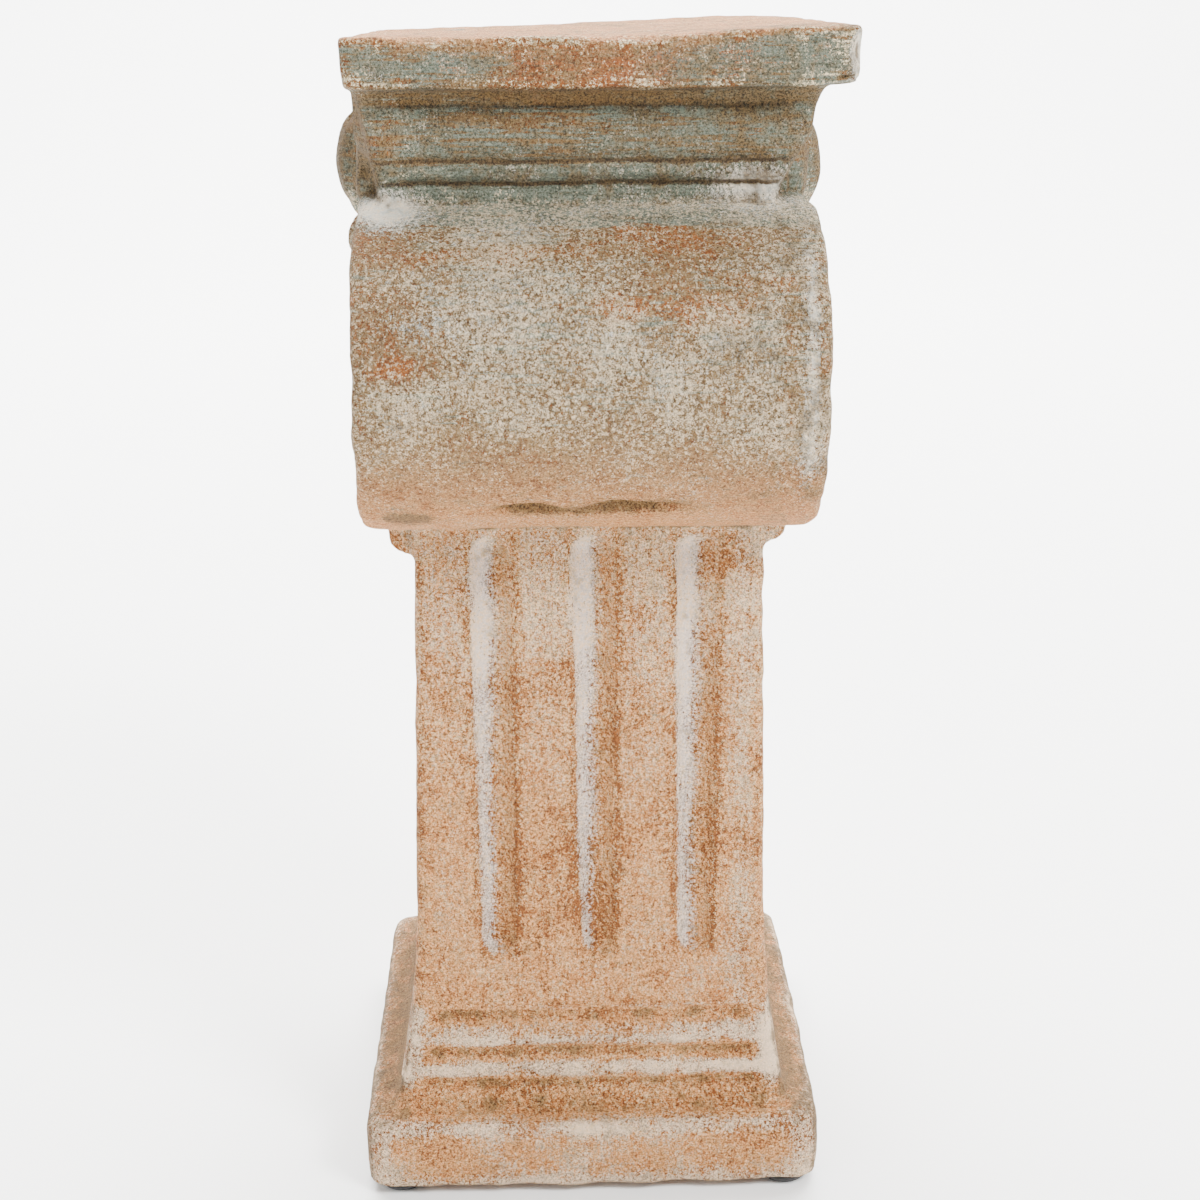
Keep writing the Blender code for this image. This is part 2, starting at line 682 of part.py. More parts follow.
def build():
    clear_scene()
    parts = new_collection("column")
    tools = new_collection("column_forms_and_cutters")
    clay = new_material("painted_clay", CLAY_COLOUR, 0.85)
    rubber = new_material("black_rubber", RUBBER_COLOUR, 0.6)
    make_body(parts, tools, clay)
    for depth_name, side_y in (("front", -1), ("back", 1)):
        for side_name, side_x in (("left", -1), ("right", 1)):
            make_foot("foot_%s_%s" % (depth_name, side_name), side_x, side_y, parts, rubber)


build()
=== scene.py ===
# %% [markdown]
# # A small column of painted clay
#
# The object is a square pedestal in the Ionic manner, about 36 cm tall, pressed and modelled in
# terracotta and then painted and rubbed back by hand. From the ground up it has four rubber
# bumpers, a plinth, a base block with two soft beads, a fluted shaft, a capital made of two
# rolls, a moulded neck and a flat slab. We look at it from the side of a roll; the volutes, which
# are the ends of the rolls, face left and right.
#
# The clay is one piece. We work out each of its forms as a grid of points, join the forms into
# one skin, press lumps and dents into that skin, and then paint it in layers.

import math

import bpy
import numpy as np
from mathutils import Matrix, Vector


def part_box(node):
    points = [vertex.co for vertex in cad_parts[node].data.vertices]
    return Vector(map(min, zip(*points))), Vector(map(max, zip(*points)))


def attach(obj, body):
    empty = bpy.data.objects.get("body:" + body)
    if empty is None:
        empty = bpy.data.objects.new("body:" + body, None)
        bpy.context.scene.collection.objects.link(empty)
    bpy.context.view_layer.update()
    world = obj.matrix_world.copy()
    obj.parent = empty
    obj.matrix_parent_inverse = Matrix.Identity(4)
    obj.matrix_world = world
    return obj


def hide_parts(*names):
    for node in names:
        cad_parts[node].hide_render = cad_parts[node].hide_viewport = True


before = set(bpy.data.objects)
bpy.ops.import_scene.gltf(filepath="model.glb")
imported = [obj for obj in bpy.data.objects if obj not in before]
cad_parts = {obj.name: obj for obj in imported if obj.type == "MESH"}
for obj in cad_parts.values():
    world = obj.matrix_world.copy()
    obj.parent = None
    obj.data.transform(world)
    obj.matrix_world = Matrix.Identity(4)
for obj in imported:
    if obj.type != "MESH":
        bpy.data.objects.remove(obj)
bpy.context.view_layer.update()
body_low, body_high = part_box("column_body")

# %% [markdown]
# ## Sizes
#
# All the sizes below are in metres and agree with the solid part. Each level is counted from the
# ground, so a form can be placed by the two levels that it lies between. A groove is given by
# its rise, its depth and the radius of the tool. `NECK_SINKS` says how deep the neck is pressed
# in at each of the heights `NECK_RISES` above its foot.

# %% Sizes of the clay forms
PLINTH_UNDERSIDE = body_low.z
PLINTH_TOP = 0.027
BASE_FOOT = 0.034
SHAFT_FOOT = 0.061
SHAFT_TOP = 0.2215
ROLL_CENTRE = 0.2695
NECK_FOOT = 0.318
NECK_TOP = 0.3485
SLAB_TOP = body_high.z

PLINTH_HALF = 0.0741
PLINTH_ROUND = 0.0036
STEP_REACH = 0.008
BASE_FOOT_HALF = 0.0625
SHAFT_FOOT_HALF = 0.0564
SHAFT_TOP_HALF = 0.0527
FOOT_SWELL = 0.0016
FOOT_SWELL_HEIGHT = 0.038
BASE_GROOVES = ((0.0008, 0.0013, 0.003), (0.0107, 0.0018, 0.0034), (0.0232, 0.0017, 0.0042))
GROOVE_STOP = 0.005
GROOVE_FADE = 0.007
LINE_DRIFT = 0.0005

FLUTE_PLACES = (-0.0299, 0.0015, 0.0329)
FLUTE_WIDTH_FOOT = 0.012
FLUTE_WIDTH_TOP = 0.0146
FLUTE_DEPTH = 0.0042
FLUTE_FOOT = 0.0775
FLUTE_TOP = 0.2185

ROLL_RADIUS = 0.049
ROLL_OFFSET = 0.046
ROLL_HALF_LENGTH = 0.0657
ROLL_EDGE = 0.0034
ROLL_SPLAY = 0.0012
VOLUTE_RIM = 0.0415
VOLUTE_RECESS = 0.003
VOLUTE_TURNS = 2.2
VOLUTE_START = math.radians(-50.0)
VOLUTE_INNER = 0.0125
VOLUTE_RIDGE = 0.0036
EYE_RADIUS = 0.008
EYE_RISE = 0.0044

NECK_HALF_X = (0.0595, 0.0648)
NECK_HALF_Y = (0.059, 0.0622)
NECK_LINES = (0.0048, 0.011, 0.0261)
NECK_RISES = (0.0, 0.004, 0.0048, 0.0056, 0.0068, 0.008, 0.0092, 0.0103, 0.011, 0.0118,
              0.0135, 0.019, 0.024, 0.0254, 0.0261, 0.0269, 0.03)
NECK_SINKS = (0.0016, 0.002, 0.0034, 0.0016, 0.0003, 0.0, 0.0004, 0.0014, 0.003, 0.0012,
              0.0001, -0.0008, -0.0003, 0.0001, 0.0014, 0.0009, 0.0004)
CAVETTO_HEIGHT = 0.005
CAVETTO_REACH = 0.003
NECK_DRAWN_IN = 0.006
NECK_FULLER = 0.0058
NECK_FULL_HALF = 0.0662

SLAB_HALF = 0.0712
SLAB_EDGE = 0.0016
SLAB_SHIFT = 0.0034

EGG_LEVEL = 0.3245
EGG_SPACING = 0.0205
EGG_HALF = (0.0095, 0.0074, 0.016)
EGG_SINK = 0.004
DART_HALF = (0.0072, 0.0019, 0.0178)
SHELL_HALF = (0.0178, 0.0092, 0.0178)
SHELL_RADIUS = 0.0013
BAR_HALF_LENGTH = 0.0501
BAR_RADIUS = 0.0062
BAR_RING_SPACING = 0.0125
BAND_REACH = 0.0705
BAND_HALF_HEIGHT = 0.0205
BAND_HALF_LENGTH = 0.054
BAND_PLAN_RADIUS = 0.1

# %% [markdown]
# ## Helpers for form
#
# A potter's surface is never quite even. `lumps` gives a soft random value at any point in space,
# which we use for wandering lines, dents and brush marks; `TWIST` turns the cubes behind it, so
# their rows never line up with a face. `ease` is the S curve that fades one thing into
# another.

# %% Soft steps and random lumps
LATTICE = 24
TWIST = np.array(Matrix.Rotation(0.61, 3, (0.3, 0.5, 0.8)))


def held(value):
    """The value held between 0 and 1."""
    return np.clip(value, 0.0, 1.0)


def ease(low, high, value):
    """0 below low, 1 above high, and between them 3s^2 - 2s^3 of the share s."""
    share = held((value - low) / (high - low))
    return share * share * (3.0 - 2.0 * share)


def lumps(points, size, seed):
    """A soft random value from -1 to 1 at each point.

    Space is cut into cubes of the given size. Each corner of a cube has a random number, and a
    point gets the eight numbers around it, blended by its place in the cube with an S curve.
    """
    numbers = np.random.default_rng(seed).uniform(-1.0, 1.0, (LATTICE,) * 3)
    scaled = np.asarray(points) @ TWIST.T / size + 7.3 * LATTICE
    cube = np.floor(scaled).astype(int)
    share = scaled - cube
    share = share * share * (3.0 - 2.0 * share)
    total = np.zeros(len(share))
    for corner in np.ndindex(2, 2, 2):
        index = (cube + corner) % LATTICE
        weight = np.prod(np.where(corner, share, 1.0 - share), axis=1)
        total += weight * numbers[index[:, 0], index[:, 1], index[:, 2]]
    return total


def wander(along, size, seed):
    """A soft random value from -1 to 1 along a line, for an array of any shape."""
    flat = np.ravel(along)
    points = np.stack([flat, np.full_like(flat, 0.37 * seed), np.zeros_like(flat)], axis=1)
    return lumps(points, size, seed).reshape(np.shape(along))


# %% [markdown]
# ## Surfaces from rings
#
# Every form here is a stack of rings: level rings for the stem, neck and slab, upright rings for
# the rolls and tubes. `skin` joins each ring to the next with four-sided faces and closes the two
# ends, so each form is a closed solid whose faces point outward.

# %% Rings and skins
PER_FACE = 120
PER_CORNER = 6


def skin(rings):
    """Points and faces of a closed surface, from rings as an array (ring, point, 3)."""
    rows, count = rings.shape[:2]
    index = np.arange(rows * count).reshape(rows, count)
    beside = np.roll(index, -1, axis=1)
    sides = np.stack([index[:-1], beside[:-1], beside[1:], index[1:]], axis=-1)
    faces = sides.reshape(-1, 4).tolist()
    faces.append(index[0, ::-1].tolist())
    faces.append(index[-1].tolist())
    return rings.reshape(-1, 3), faces


def square_rings(z, half_x, half_y, corner, sunk=None):
    """Level rings of a rounded oblong, one for each height in z.

    A face is a straight row of points from one rounded corner to the next. Where sunk is given,
    sunk(face, across, z) says how deep each point is pressed in; face 0 is the front, and 1, 2
    and 3 are the right, the back and the left.
    """
    z, half_x, half_y, corner = np.broadcast_arrays(z, half_x, half_y, corner)
    share = np.linspace(-1.0, 1.0, PER_FACE)
    bend = np.linspace(0.0, math.pi / 2, PER_CORNER + 2)[1:-1]
    parts = []
    for face in range(4):
        reach = ((half_x, half_y)[face % 2] - corner)[:, None]
        out = ((half_y, half_x)[face % 2] - corner)[:, None]
        across = reach * share
        proud = np.repeat(out + corner[:, None], PER_FACE, axis=1)
        if sunk is not None:
            proud = proud - sunk(face, across, np.repeat(z[:, None], PER_FACE, axis=1))
        across = np.concatenate([across, reach + corner[:, None] * np.sin(bend)], axis=1)
        proud = np.concatenate([proud, out + corner[:, None] * np.cos(bend)], axis=1)
        turn = face * math.pi / 2
        x = across * math.cos(turn) + proud * math.sin(turn)
        y = across * math.sin(turn) - proud * math.cos(turn)
        parts.append(np.stack([x, y, np.repeat(z[:, None], x.shape[1], axis=1)], axis=-1))
    return np.concatenate(parts, axis=1)


def round_groove(away, depth, radius):
    """Depth of a level groove cut by a round bar, at a distance away from its middle line."""
    reach = np.sqrt(np.maximum(radius ** 2 - away ** 2, 0.0))
    return np.maximum(reach - (radius - depth), 0.0)


def egg_form(centre, half, taper=0.0, turns=24, rows=18):
    """An egg: an ellipsoid whose width grows with height by the share taper."""
    lift = np.linspace(-math.pi / 2 + 0.08, math.pi / 2 - 0.08, rows)[:, None]
    angle = np.linspace(0.0, 2.0 * math.pi, turns, endpoint=False)[None, :]
    width = np.cos(lift) * (1.0 + taper * np.sin(lift))
    ring = [np.cos(lift) * np.cos(angle) * half[0], width * np.sin(angle) * half[1],
            np.repeat(np.sin(lift), turns, axis=1) * half[2]]
    return skin(np.stack(ring, axis=-1) + np.array(centre))


def tube_form(path, radius, sides=12):
    """A round tube along a path of points; radius is one value or one for each point."""
    path = np.asarray(path, float)
    ahead = np.gradient(path, axis=0)
    ahead /= np.linalg.norm(ahead, axis=1)[:, None]
    across = np.cross(ahead, (1.0, 0.0, 0.0))
    across /= np.linalg.norm(across, axis=1)[:, None]
    up = np.cross(ahead, across)
    angle = np.linspace(0.0, 2.0 * math.pi, sides, endpoint=False)
    spread = across[:, None] * np.cos(angle)[:, None] + up[:, None] * np.sin(angle)[:, None]
    return skin(path[:, None] + spread * np.broadcast_to(radius, len(path))[:, None, None])


# %% [markdown]
# ## The stem
#
# The stem is everything from the plinth's underside to the top of the shaft. On the real piece
# the grooves of the base were drawn with a round tool along each face and run out just before the
# corners, and the flutes are round-ended hollows that narrow a little towards the foot.

# %% Plinth, base block and fluted shaft
def shaft_half(z):
    """Half width of the shaft at a height, by its straight taper."""
    slope = (SHAFT_TOP_HALF - SHAFT_FOOT_HALF) / (SHAFT_TOP - SHAFT_FOOT)
    return SHAFT_FOOT_HALF + slope * (z - SHAFT_FOOT)


def stem_half(z):
    """Half width of the stem at a height: round-edged plinth, hollow step, slope and taper."""
    swell = FOOT_SWELL * held(1.0 - (z - SHAFT_FOOT) / FOOT_SWELL_HEIGHT) ** 2
    shaft = shaft_half(z) + swell
    block = np.interp(z, [BASE_FOOT, SHAFT_FOOT], [BASE_FOOT_HALF, SHAFT_FOOT_HALF + FOOT_SWELL])
    fall = held((BASE_FOOT - z) / (BASE_FOOT - PLINTH_TOP))
    step = BASE_FOOT_HALF + STEP_REACH * (1.0 - np.sqrt(1.0 - fall ** 2))
    edge = held((z - PLINTH_TOP + PLINTH_ROUND) / PLINTH_ROUND)
    plinth = PLINTH_HALF - PLINTH_ROUND * (1.0 - np.sqrt(1.0 - edge ** 2))
    return np.select([z < PLINTH_TOP, z < BASE_FOOT, z < SHAFT_FOOT], [plinth, step, block], shaft)


def stem_sunk(face, across, z):
    """How deep a face of the stem is cut: level grooves on the base and flutes on the shaft."""
    depth = np.zeros_like(z)
    run_out = ease(0.0, GROOVE_FADE, stem_half(z) - GROOVE_STOP - np.abs(across))
    for index, (rise, deep, radius) in enumerate(BASE_GROOVES):
        drift = LINE_DRIFT * wander(across, 0.02, 11 * index + face)
        depth = np.maximum(depth, round_groove(z - BASE_FOOT - rise - drift, deep, radius) * run_out)
    for index, place in enumerate(FLUTE_PLACES):
        seed = 40 + 3 * face + index
        wide = np.interp(z, [FLUTE_FOOT, FLUTE_TOP], [FLUTE_WIDTH_FOOT, FLUTE_WIDTH_TOP])
        wide = wide * (1.0 + 0.05 * wander(z, 0.03, seed))
        radius = (wide ** 2 / 4 + FLUTE_DEPTH ** 2) / (2 * FLUTE_DEPTH)
        beyond = np.maximum(FLUTE_FOOT + wide / 2 - z, z - FLUTE_TOP + wide / 2)
        side = across - place - 0.0006 * wander(z, 0.04, seed + 20)
        away = np.hypot(side, np.maximum(beyond, 0.0))
        depth = np.maximum(depth, round_groove(away, FLUTE_DEPTH, radius))
    return depth


def stem_form():
    """The stem as one skin, with close rings on the mouldings and wider ones up the shaft."""
    mouldings = np.arange(PLINTH_UNDERSIDE, 0.062, 0.0005)
    z = np.concatenate([mouldings, np.arange(0.0625, 0.224, 0.001)])
    corner = np.interp(z, [PLINTH_TOP, BASE_FOOT, SHAFT_FOOT, SHAFT_FOOT + 0.001],
                       [0.008, 0.004, 0.0035, 0.0026])
    half = stem_half(np.minimum(z, SHAFT_TOP))
    return skin(square_rings(z, half, half, corner, stem_sunk))


# %% [markdown]
# ## The rolls and their volutes
#
# A roll is turned about a level axis, so its rings are upright. The rings start at the middle of
# the left end, run out over that end, along the roll and back in over the right end. The raised
# spiral of the volute is a ridge on each end whose radius shrinks by the same share with every
# degree, as in a shell.

# %% Rolls with spiral ends
def spiral_ridge(radius, angle):
    """Height share of the spiral ridge at a radius and angle about the eye.

    The spiral's radius at a turn t from the rim is rim * (inner / rim)^t. The height is the
    square of a cosine across the ridge, which narrows towards the eye.
    """
    rim = ROLL_RADIUS - ROLL_EDGE - VOLUTE_RIDGE / 2
    height = np.zeros_like(radius * angle)
    for turn in range(-1, 4):
        share = (angle - VOLUTE_START + 2.0 * math.pi * turn) / (2.0 * math.pi * VOLUTE_TURNS)
        middle = rim * (VOLUTE_INNER / rim) ** held(share)
        wide = VOLUTE_RIDGE * (1.0 - 0.42 * held(share))
        away = held(np.abs(radius - middle) / wide)
        inside = ease(-0.01, 0.0, share) * (1.0 - ease(1.0, 1.01, share))
        height = np.maximum(height, inside * np.cos(away * math.pi / 2) ** 2)
    return height


def roll_form(side):
    """One roll; side is -1 for the front roll and 1 for the back roll."""
    angle = np.linspace(0.0, 2.0 * math.pi, 260, endpoint=False)[None, :]
    bend = np.linspace(0.0, math.pi / 2, 6)[1:]
    rim = ROLL_RADIUS - ROLL_EDGE
    face_radius = np.linspace(0.0006, rim, 56)
    dish = VOLUTE_RECESS * (1.0 - ease(VOLUTE_RIM, rim, face_radius))
    end_radius = np.concatenate([face_radius, rim + ROLL_EDGE * np.sin(bend)])
    end_depth = np.concatenate([dish, ROLL_EDGE * (1.0 - np.cos(bend))])
    ridge = np.where(end_radius[:, None] > rim, 0.0,
                     spiral_ridge(end_radius[:, None], angle) * VOLUTE_RECESS * 1.1)
    eye = EYE_RISE * np.sqrt(held(1.0 - (end_radius / EYE_RADIUS) ** 2))
    depth = end_depth[:, None] - np.maximum(ridge, eye[:, None])
    straight = np.linspace(-1.0, 1.0, 100)[1:-1, None] * (ROLL_HALF_LENGTH - ROLL_EDGE)
    along = np.concatenate([-ROLL_HALF_LENGTH + depth, np.repeat(straight, angle.size, axis=1),
                            (ROLL_HALF_LENGTH - depth)[::-1]])
    radius = np.concatenate([end_radius, np.full(len(straight), ROLL_RADIUS), end_radius[::-1]])
    splay = ROLL_SPLAY * ease(-0.2, 1.0, -np.cos(angle)) * np.sign(along)
    up = radius[:, None] * np.cos(angle)
    out = radius[:, None] * np.sin(angle)
    ring = [along + splay, side * (ROLL_OFFSET + out), ROLL_CENTRE + up]
    rings = np.stack(ring, axis=-1)
    return skin(rings if side > 0 else rings[:, ::-1])


# %% [markdown]
# ## The head
#
# Between the rolls stands a plain block. Above it the neck widens upward in soft mouldings, and
# a slab lies on top. The neck is fuller over the egg bands and draws in at its lower right.

# %% Core, neck and slab
def core_form():
    """The plain block between the rolls, a little inside their ends."""
    half_x = ROLL_HALF_LENGTH - VOLUTE_RECESS - 0.0014
    z = np.linspace(SHAFT_TOP - 0.001, NECK_FOOT + 0.003, 60)
    return skin(square_rings(z, half_x, ROLL_OFFSET - 0.003, 0.0026))


def neck_drift(across, face):
    """How far the drawn lines of the neck wander up and down along a face."""
    return LINE_DRIFT * wander(across, 0.022, 70 + face)


def neck_sunk(face, across, z):
    """The bead and the swelling band of the neck, front and back, fading before the corners."""
    if face % 2:
        return np.zeros_like(z)
    run_out = ease(0.0, 0.006, NECK_HALF_X[0] - 0.004 - np.abs(across))
    rise = z - NECK_FOOT - neck_drift(across, face)
    return np.interp(rise, NECK_RISES, NECK_SINKS) * run_out


def neck_form():
    """The neck, with its lower right corners drawn in and its two ends fuller over the eggs."""
    z = np.arange(NECK_FOOT - 0.009, NECK_TOP + 0.0031, 0.0005)
    share = held((z - NECK_FOOT) / (NECK_TOP - NECK_FOOT))
    lift = held((z - NECK_TOP + CAVETTO_HEIGHT) / CAVETTO_HEIGHT)
    flare = CAVETTO_REACH * (1.0 - np.sqrt(1.0 - lift ** 2))
    half_x = NECK_HALF_X[0] + (NECK_HALF_X[1] - NECK_HALF_X[0]) * share + flare / 2
    half_y = NECK_HALF_Y[0] + (NECK_HALF_Y[1] - NECK_HALF_Y[0]) * share + flare
    rings = square_rings(z, half_x, half_y, 0.004, neck_sunk)
    x, y, level = np.moveaxis(rings, -1, 0)
    low = 1.0 - ease(0.319, 0.339, level)
    far_right = ease(0.04, 0.06, x)
    x = x - NECK_DRAWN_IN * low * far_right * ease(0.03, 0.056, np.abs(y))
    over_band = ease(0.325, 0.337, level) * (1.0 - ease(0.046, 0.056, np.abs(y)))
    fuller = x + NECK_FULLER * over_band * np.clip(x / 0.06, -1.0, 1.0)
    x = np.where(over_band > 0.0, np.clip(fuller, -NECK_FULL_HALF, NECK_FULL_HALF), x)
    return skin(np.stack([x, y, level], axis=-1))


def slab_form():
    """The slab: soft edges, with a lip drawn along the lower right of the front edge."""
    bend = np.linspace(0.0, math.pi / 2, 5)
    rise = SLAB_EDGE * (1.0 - np.cos(bend))
    drawn_back = SLAB_EDGE * (1.0 - np.sin(bend))
    upright = np.arange(NECK_TOP + SLAB_EDGE, SLAB_TOP - SLAB_EDGE, 0.0006)[1:]
    z = np.concatenate([NECK_TOP + rise, upright, SLAB_TOP - rise[::-1]])
    inset = np.concatenate([drawn_back, np.zeros(len(upright)), drawn_back[::-1]])

    def lip(face, across, level):
        """How deep the line of the lip is drawn, on the front face only."""
        line = NECK_TOP + 0.001 + 0.0034 * ease(0.025, 0.07, across)
        drawn = held(1.0 - np.abs(level - line) / 0.0009)
        return 0.0009 * drawn * ease(0.02, 0.04, across) if face == 0 else 0.0 * level

    rings = square_rings(z, SLAB_HALF - inset, SLAB_HALF - inset, 0.003, lip)
    rings[..., 0] += SLAB_SHIFT
    return skin(rings)


# %% [markdown]
# ## Ornament of the volute sides
#
# These sides carry a swelling band with five eggs, darts between them and a small leaf of three
# lobes that hangs over the meeting of the volutes. A half-round bar lies under the volutes.

# %% Eggs, darts, leaf and bar
def band_recess(y):
    """How far the egg band falls back from its middle, on its round plan."""
    return BAND_PLAN_RADIUS - np.sqrt(BAND_PLAN_RADIUS ** 2 - y ** 2)


def band_form(side):
    """The swelling band: upright rings along its length, bowed in plan."""
    y = np.linspace(-BAND_HALF_LENGTH, BAND_HALF_LENGTH, 90)
    ends = held((BAND_HALF_LENGTH - np.abs(y)) / 0.006)
    size = 0.5 + 0.5 * np.sqrt(1.0 - (1.0 - ends) ** 2)
    angle = np.linspace(0.0, 2.0 * math.pi, 64, endpoint=False)
    reach = (BAND_REACH - SHAFT_TOP_HALF) * size[:, None] * np.cos(angle)
    x = side * (SHAFT_TOP_HALF + reach - band_recess(y)[:, None])
    z = EGG_LEVEL + BAND_HALF_HEIGHT * size[:, None] * np.sin(angle)
    rings = np.stack([x, np.repeat(y[:, None], 64, axis=1), z], axis=-1)
    return skin(rings[:, ::-1] if side > 0 else rings)


def egg_row(side):
    """Five eggs with a raised shell about each, and darts between them."""
    forms = []
    for y in EGG_SPACING * np.arange(-2, 3):
        x = side * (BAND_REACH - EGG_SINK - band_recess(y))
        forms.append(egg_form((x, y, EGG_LEVEL), EGG_HALF, 0.22))
        sweep = np.linspace(math.radians(160), math.radians(380), 40)
        shell_y = y + SHELL_HALF[1] * np.cos(sweep) * (1.0 + 0.16 * np.sin(sweep))
        drop = SHELL_HALF[2] * np.sin(sweep)
        bulge = np.sqrt(1.0 - (drop / 0.0215) ** 2)
        shell_x = side * (SHAFT_TOP_HALF + SHELL_HALF[0] * bulge - band_recess(shell_y))
        path = np.stack([shell_x, shell_y, EGG_LEVEL + drop], axis=1)
        forms.append(tube_form(path, SHELL_RADIUS))
    for y in EGG_SPACING * (np.arange(4) - 1.5):
        x = side * (BAND_REACH - EGG_SINK - band_recess(y))
        forms.append(egg_form((x, y, EGG_LEVEL), DART_HALF))
    return forms


def leaf_forms(side):
    """Three lobes that hang from the band; the middle one is longer and has a raised vein."""
    forms = []
    for lobe, length in ((-1, 0.0235), (0, 0.031), (1, 0.0235)):
        points, faces = egg_form((0.0, 0.0, -length / 2), (0.012, 0.0055, length / 2), 0.25)
        points[:, 0] += 0.0007 * np.cos(np.clip(points[:, 1] / 0.0022, -1.0, 1.0) * math.pi)
        swing = np.array(Matrix.Rotation(math.radians(33.0 * lobe), 3, "X"))
        place = (side * (BAND_REACH - 0.0095), 0.0, NECK_TOP - 0.038)
        forms.append((points @ swing.T + place, faces))
    return forms


def bar_form(side):
    """The bar under the volutes, with shallow turned rings; it is thinner on the right."""
    y = np.linspace(-BAR_HALF_LENGTH, BAR_HALF_LENGTH, 160)
    size = 0.78 if side > 0 else 1.0
    z = ROLL_CENTRE - ROLL_RADIUS - 0.0025 * size + 0.002 * (1.0 - size)
    x = side * (shaft_half(z) + 0.0018)
    turned = (0.5 - 0.5 * np.cos(y / BAR_RING_SPACING * 2.0 * math.pi)) ** 6
    radius = BAR_RADIUS - 0.0005 * turned
    path = np.stack([np.full_like(y, x), y, np.full_like(y, z)], axis=1)
    return tube_form(path, radius * size, 24)


forms = [stem_form(), roll_form(-1), roll_form(1), core_form(), neck_form(), slab_form()]
for volute_side in (-1, 1):
    forms += [band_form(volute_side), bar_form(volute_side)]
    forms += egg_row(volute_side) + leaf_forms(volute_side)
print("%d clay forms with %d points" % (len(forms), sum(len(points) for points, _ in forms)))

# %% [markdown]
# ## One skin
#
# The forms overlap like pieces of clay pressed together. Space is cut into small cubes and a new
# skin is drawn round all that is inside any form, which joins them and softens every edge and
# inner corner a little, as fingers would.

# %% Join the forms into one skin
CUBE = 0.00105
TRIANGLE_LIMIT = 192000


def mesh_arrays(mesh):
    """Points, outward directions and edges of a mesh as arrays."""
    points = np.empty(len(mesh.vertices) * 3, np.float32)
    mesh.vertices.foreach_get("co", points)
    outward = np.empty(len(mesh.vertices) * 3, np.float32)
    mesh.vertex_normals.foreach_get("vector", outward)
    edges = np.empty(len(mesh.edges) * 2, np.int32)
    mesh.edges.foreach_get("vertices", edges)
    points, outward = (flat.reshape(-1, 3).astype(float) for flat in (points, outward))
    return points, outward, edges.reshape(-1, 2)


def triangles(mesh):
    """Number of triangles of a mesh; a face with n corners counts as n - 2."""
    return sum(len(face.vertices) - 2 for face in mesh.polygons)


def new_item(name, data):
    """An object in the scene that holds the given mesh, camera or light."""
    item = bpy.data.objects.new(name, data)
    bpy.context.scene.collection.objects.link(item)
    return item


def finished_mesh(item, name):
    """The mesh of an object with its modifiers worked in; the object is then removed."""
    bpy.context.view_layer.update()
    shaped = item.evaluated_get(bpy.context.evaluated_depsgraph_get())
    mesh = bpy.data.meshes.new_from_object(shaped)
    mesh.name = name
    bpy.data.objects.remove(item, do_unlink=True)
    return mesh


def join_skins(name, skins, cube):
    """One skin round several closed surfaces, drawn on a grid of cubes."""
    starts = np.cumsum([0] + [len(points) for points, _ in skins])
    faces = []
    for start, (_, rows) in zip(starts, skins):
        faces += [[index + int(start) for index in row] for row in rows]
    mesh = bpy.data.meshes.new(name)
    mesh.from_pydata(np.concatenate([points for points, _ in skins]).tolist(), [], faces)
    item = new_item(name, mesh)
    modifier = item.modifiers.new("one skin", "REMESH")
    modifier.mode = "VOXEL"
    modifier.voxel_size = cube
    modifier.use_smooth_shade = True
    return finished_mesh(item, name)


clay = join_skins("clay", forms, CUBE)
print("joined skin: %d faces" % len(clay.polygons))

# %% [markdown]
# ## Lumps, dents and wear
#
# First the whole piece is bent a very little, as clay does while it dries. Then lumps of several
# sizes are pressed in along the surface, edges are worn down unevenly, and the marks that the
# photo shows are made one by one. A mark is given by its centre and its reach in millimetres and
# its depth in metres.

# %% Press in the hand-made unevenness
BEND = (0.0007, 0.0007, 0.0003)
BEND_SIZE = 0.055
SLAB_END = 0.074
SLAB_LIFT_FRONT = 0.0027
SLAB_SLOPE_BACK = 0.04
SLAB_DROP_BACK = 0.0014
BAND_PRESSED = 0.0028
LUMP_LAYERS = ((0.00032, 0.014, 211), (0.00018, 0.006, 212), (0.0001, 0.0028, 213))
EDGE_RELIEF = 0.0005
EDGE_WEAR = 0.00075
CRACK_MARKS = (((12, -79, 234.3), (13, 9, 1.9), 0.003), ((-18, -78, 233.6), (9, 9, 1.6), 0.0024),
               ((-3, -78, 232.6), (8, 9, 1.2), 0.0014))
HOLE_MARK = ((-65, -54, 325), (3.2, 7, 4.4), 0.005)
CHIP_MARKS = (((70, -71, 350.5), (8, 5, 1.6), 0.0012), ((74, -70, 359), (3.5, 5, 5), 0.0024),
              ((72, -71, 352), (4, 5, 3), 0.0012), ((-44, -71, 363), (7, 3, 1.3), 0.001),
              ((12, -71, 363), (9, 3, 1.2), 0.0008))


def relaxed(points, edges, rounds):
    """The points after each has moved towards the middle of its neighbours a number of times."""
    ends = edges.ravel()
    others = edges[:, ::-1].ravel()
    number = np.bincount(ends, minlength=len(points))[:, None]
    for _ in range(rounds):
        sums = [np.bincount(ends, points[others, axis], len(points)) for axis in range(3)]
        points = 0.3 * points + 0.7 * np.stack(sums, axis=1) / number
    return points


def stand_out(points, edges, outward, rounds):
    """How far each point stands out from where `relaxed` moves it, below 0 in a hollow."""
    return np.einsum("ij,ij->i", points - relaxed(points, edges, rounds), outward)


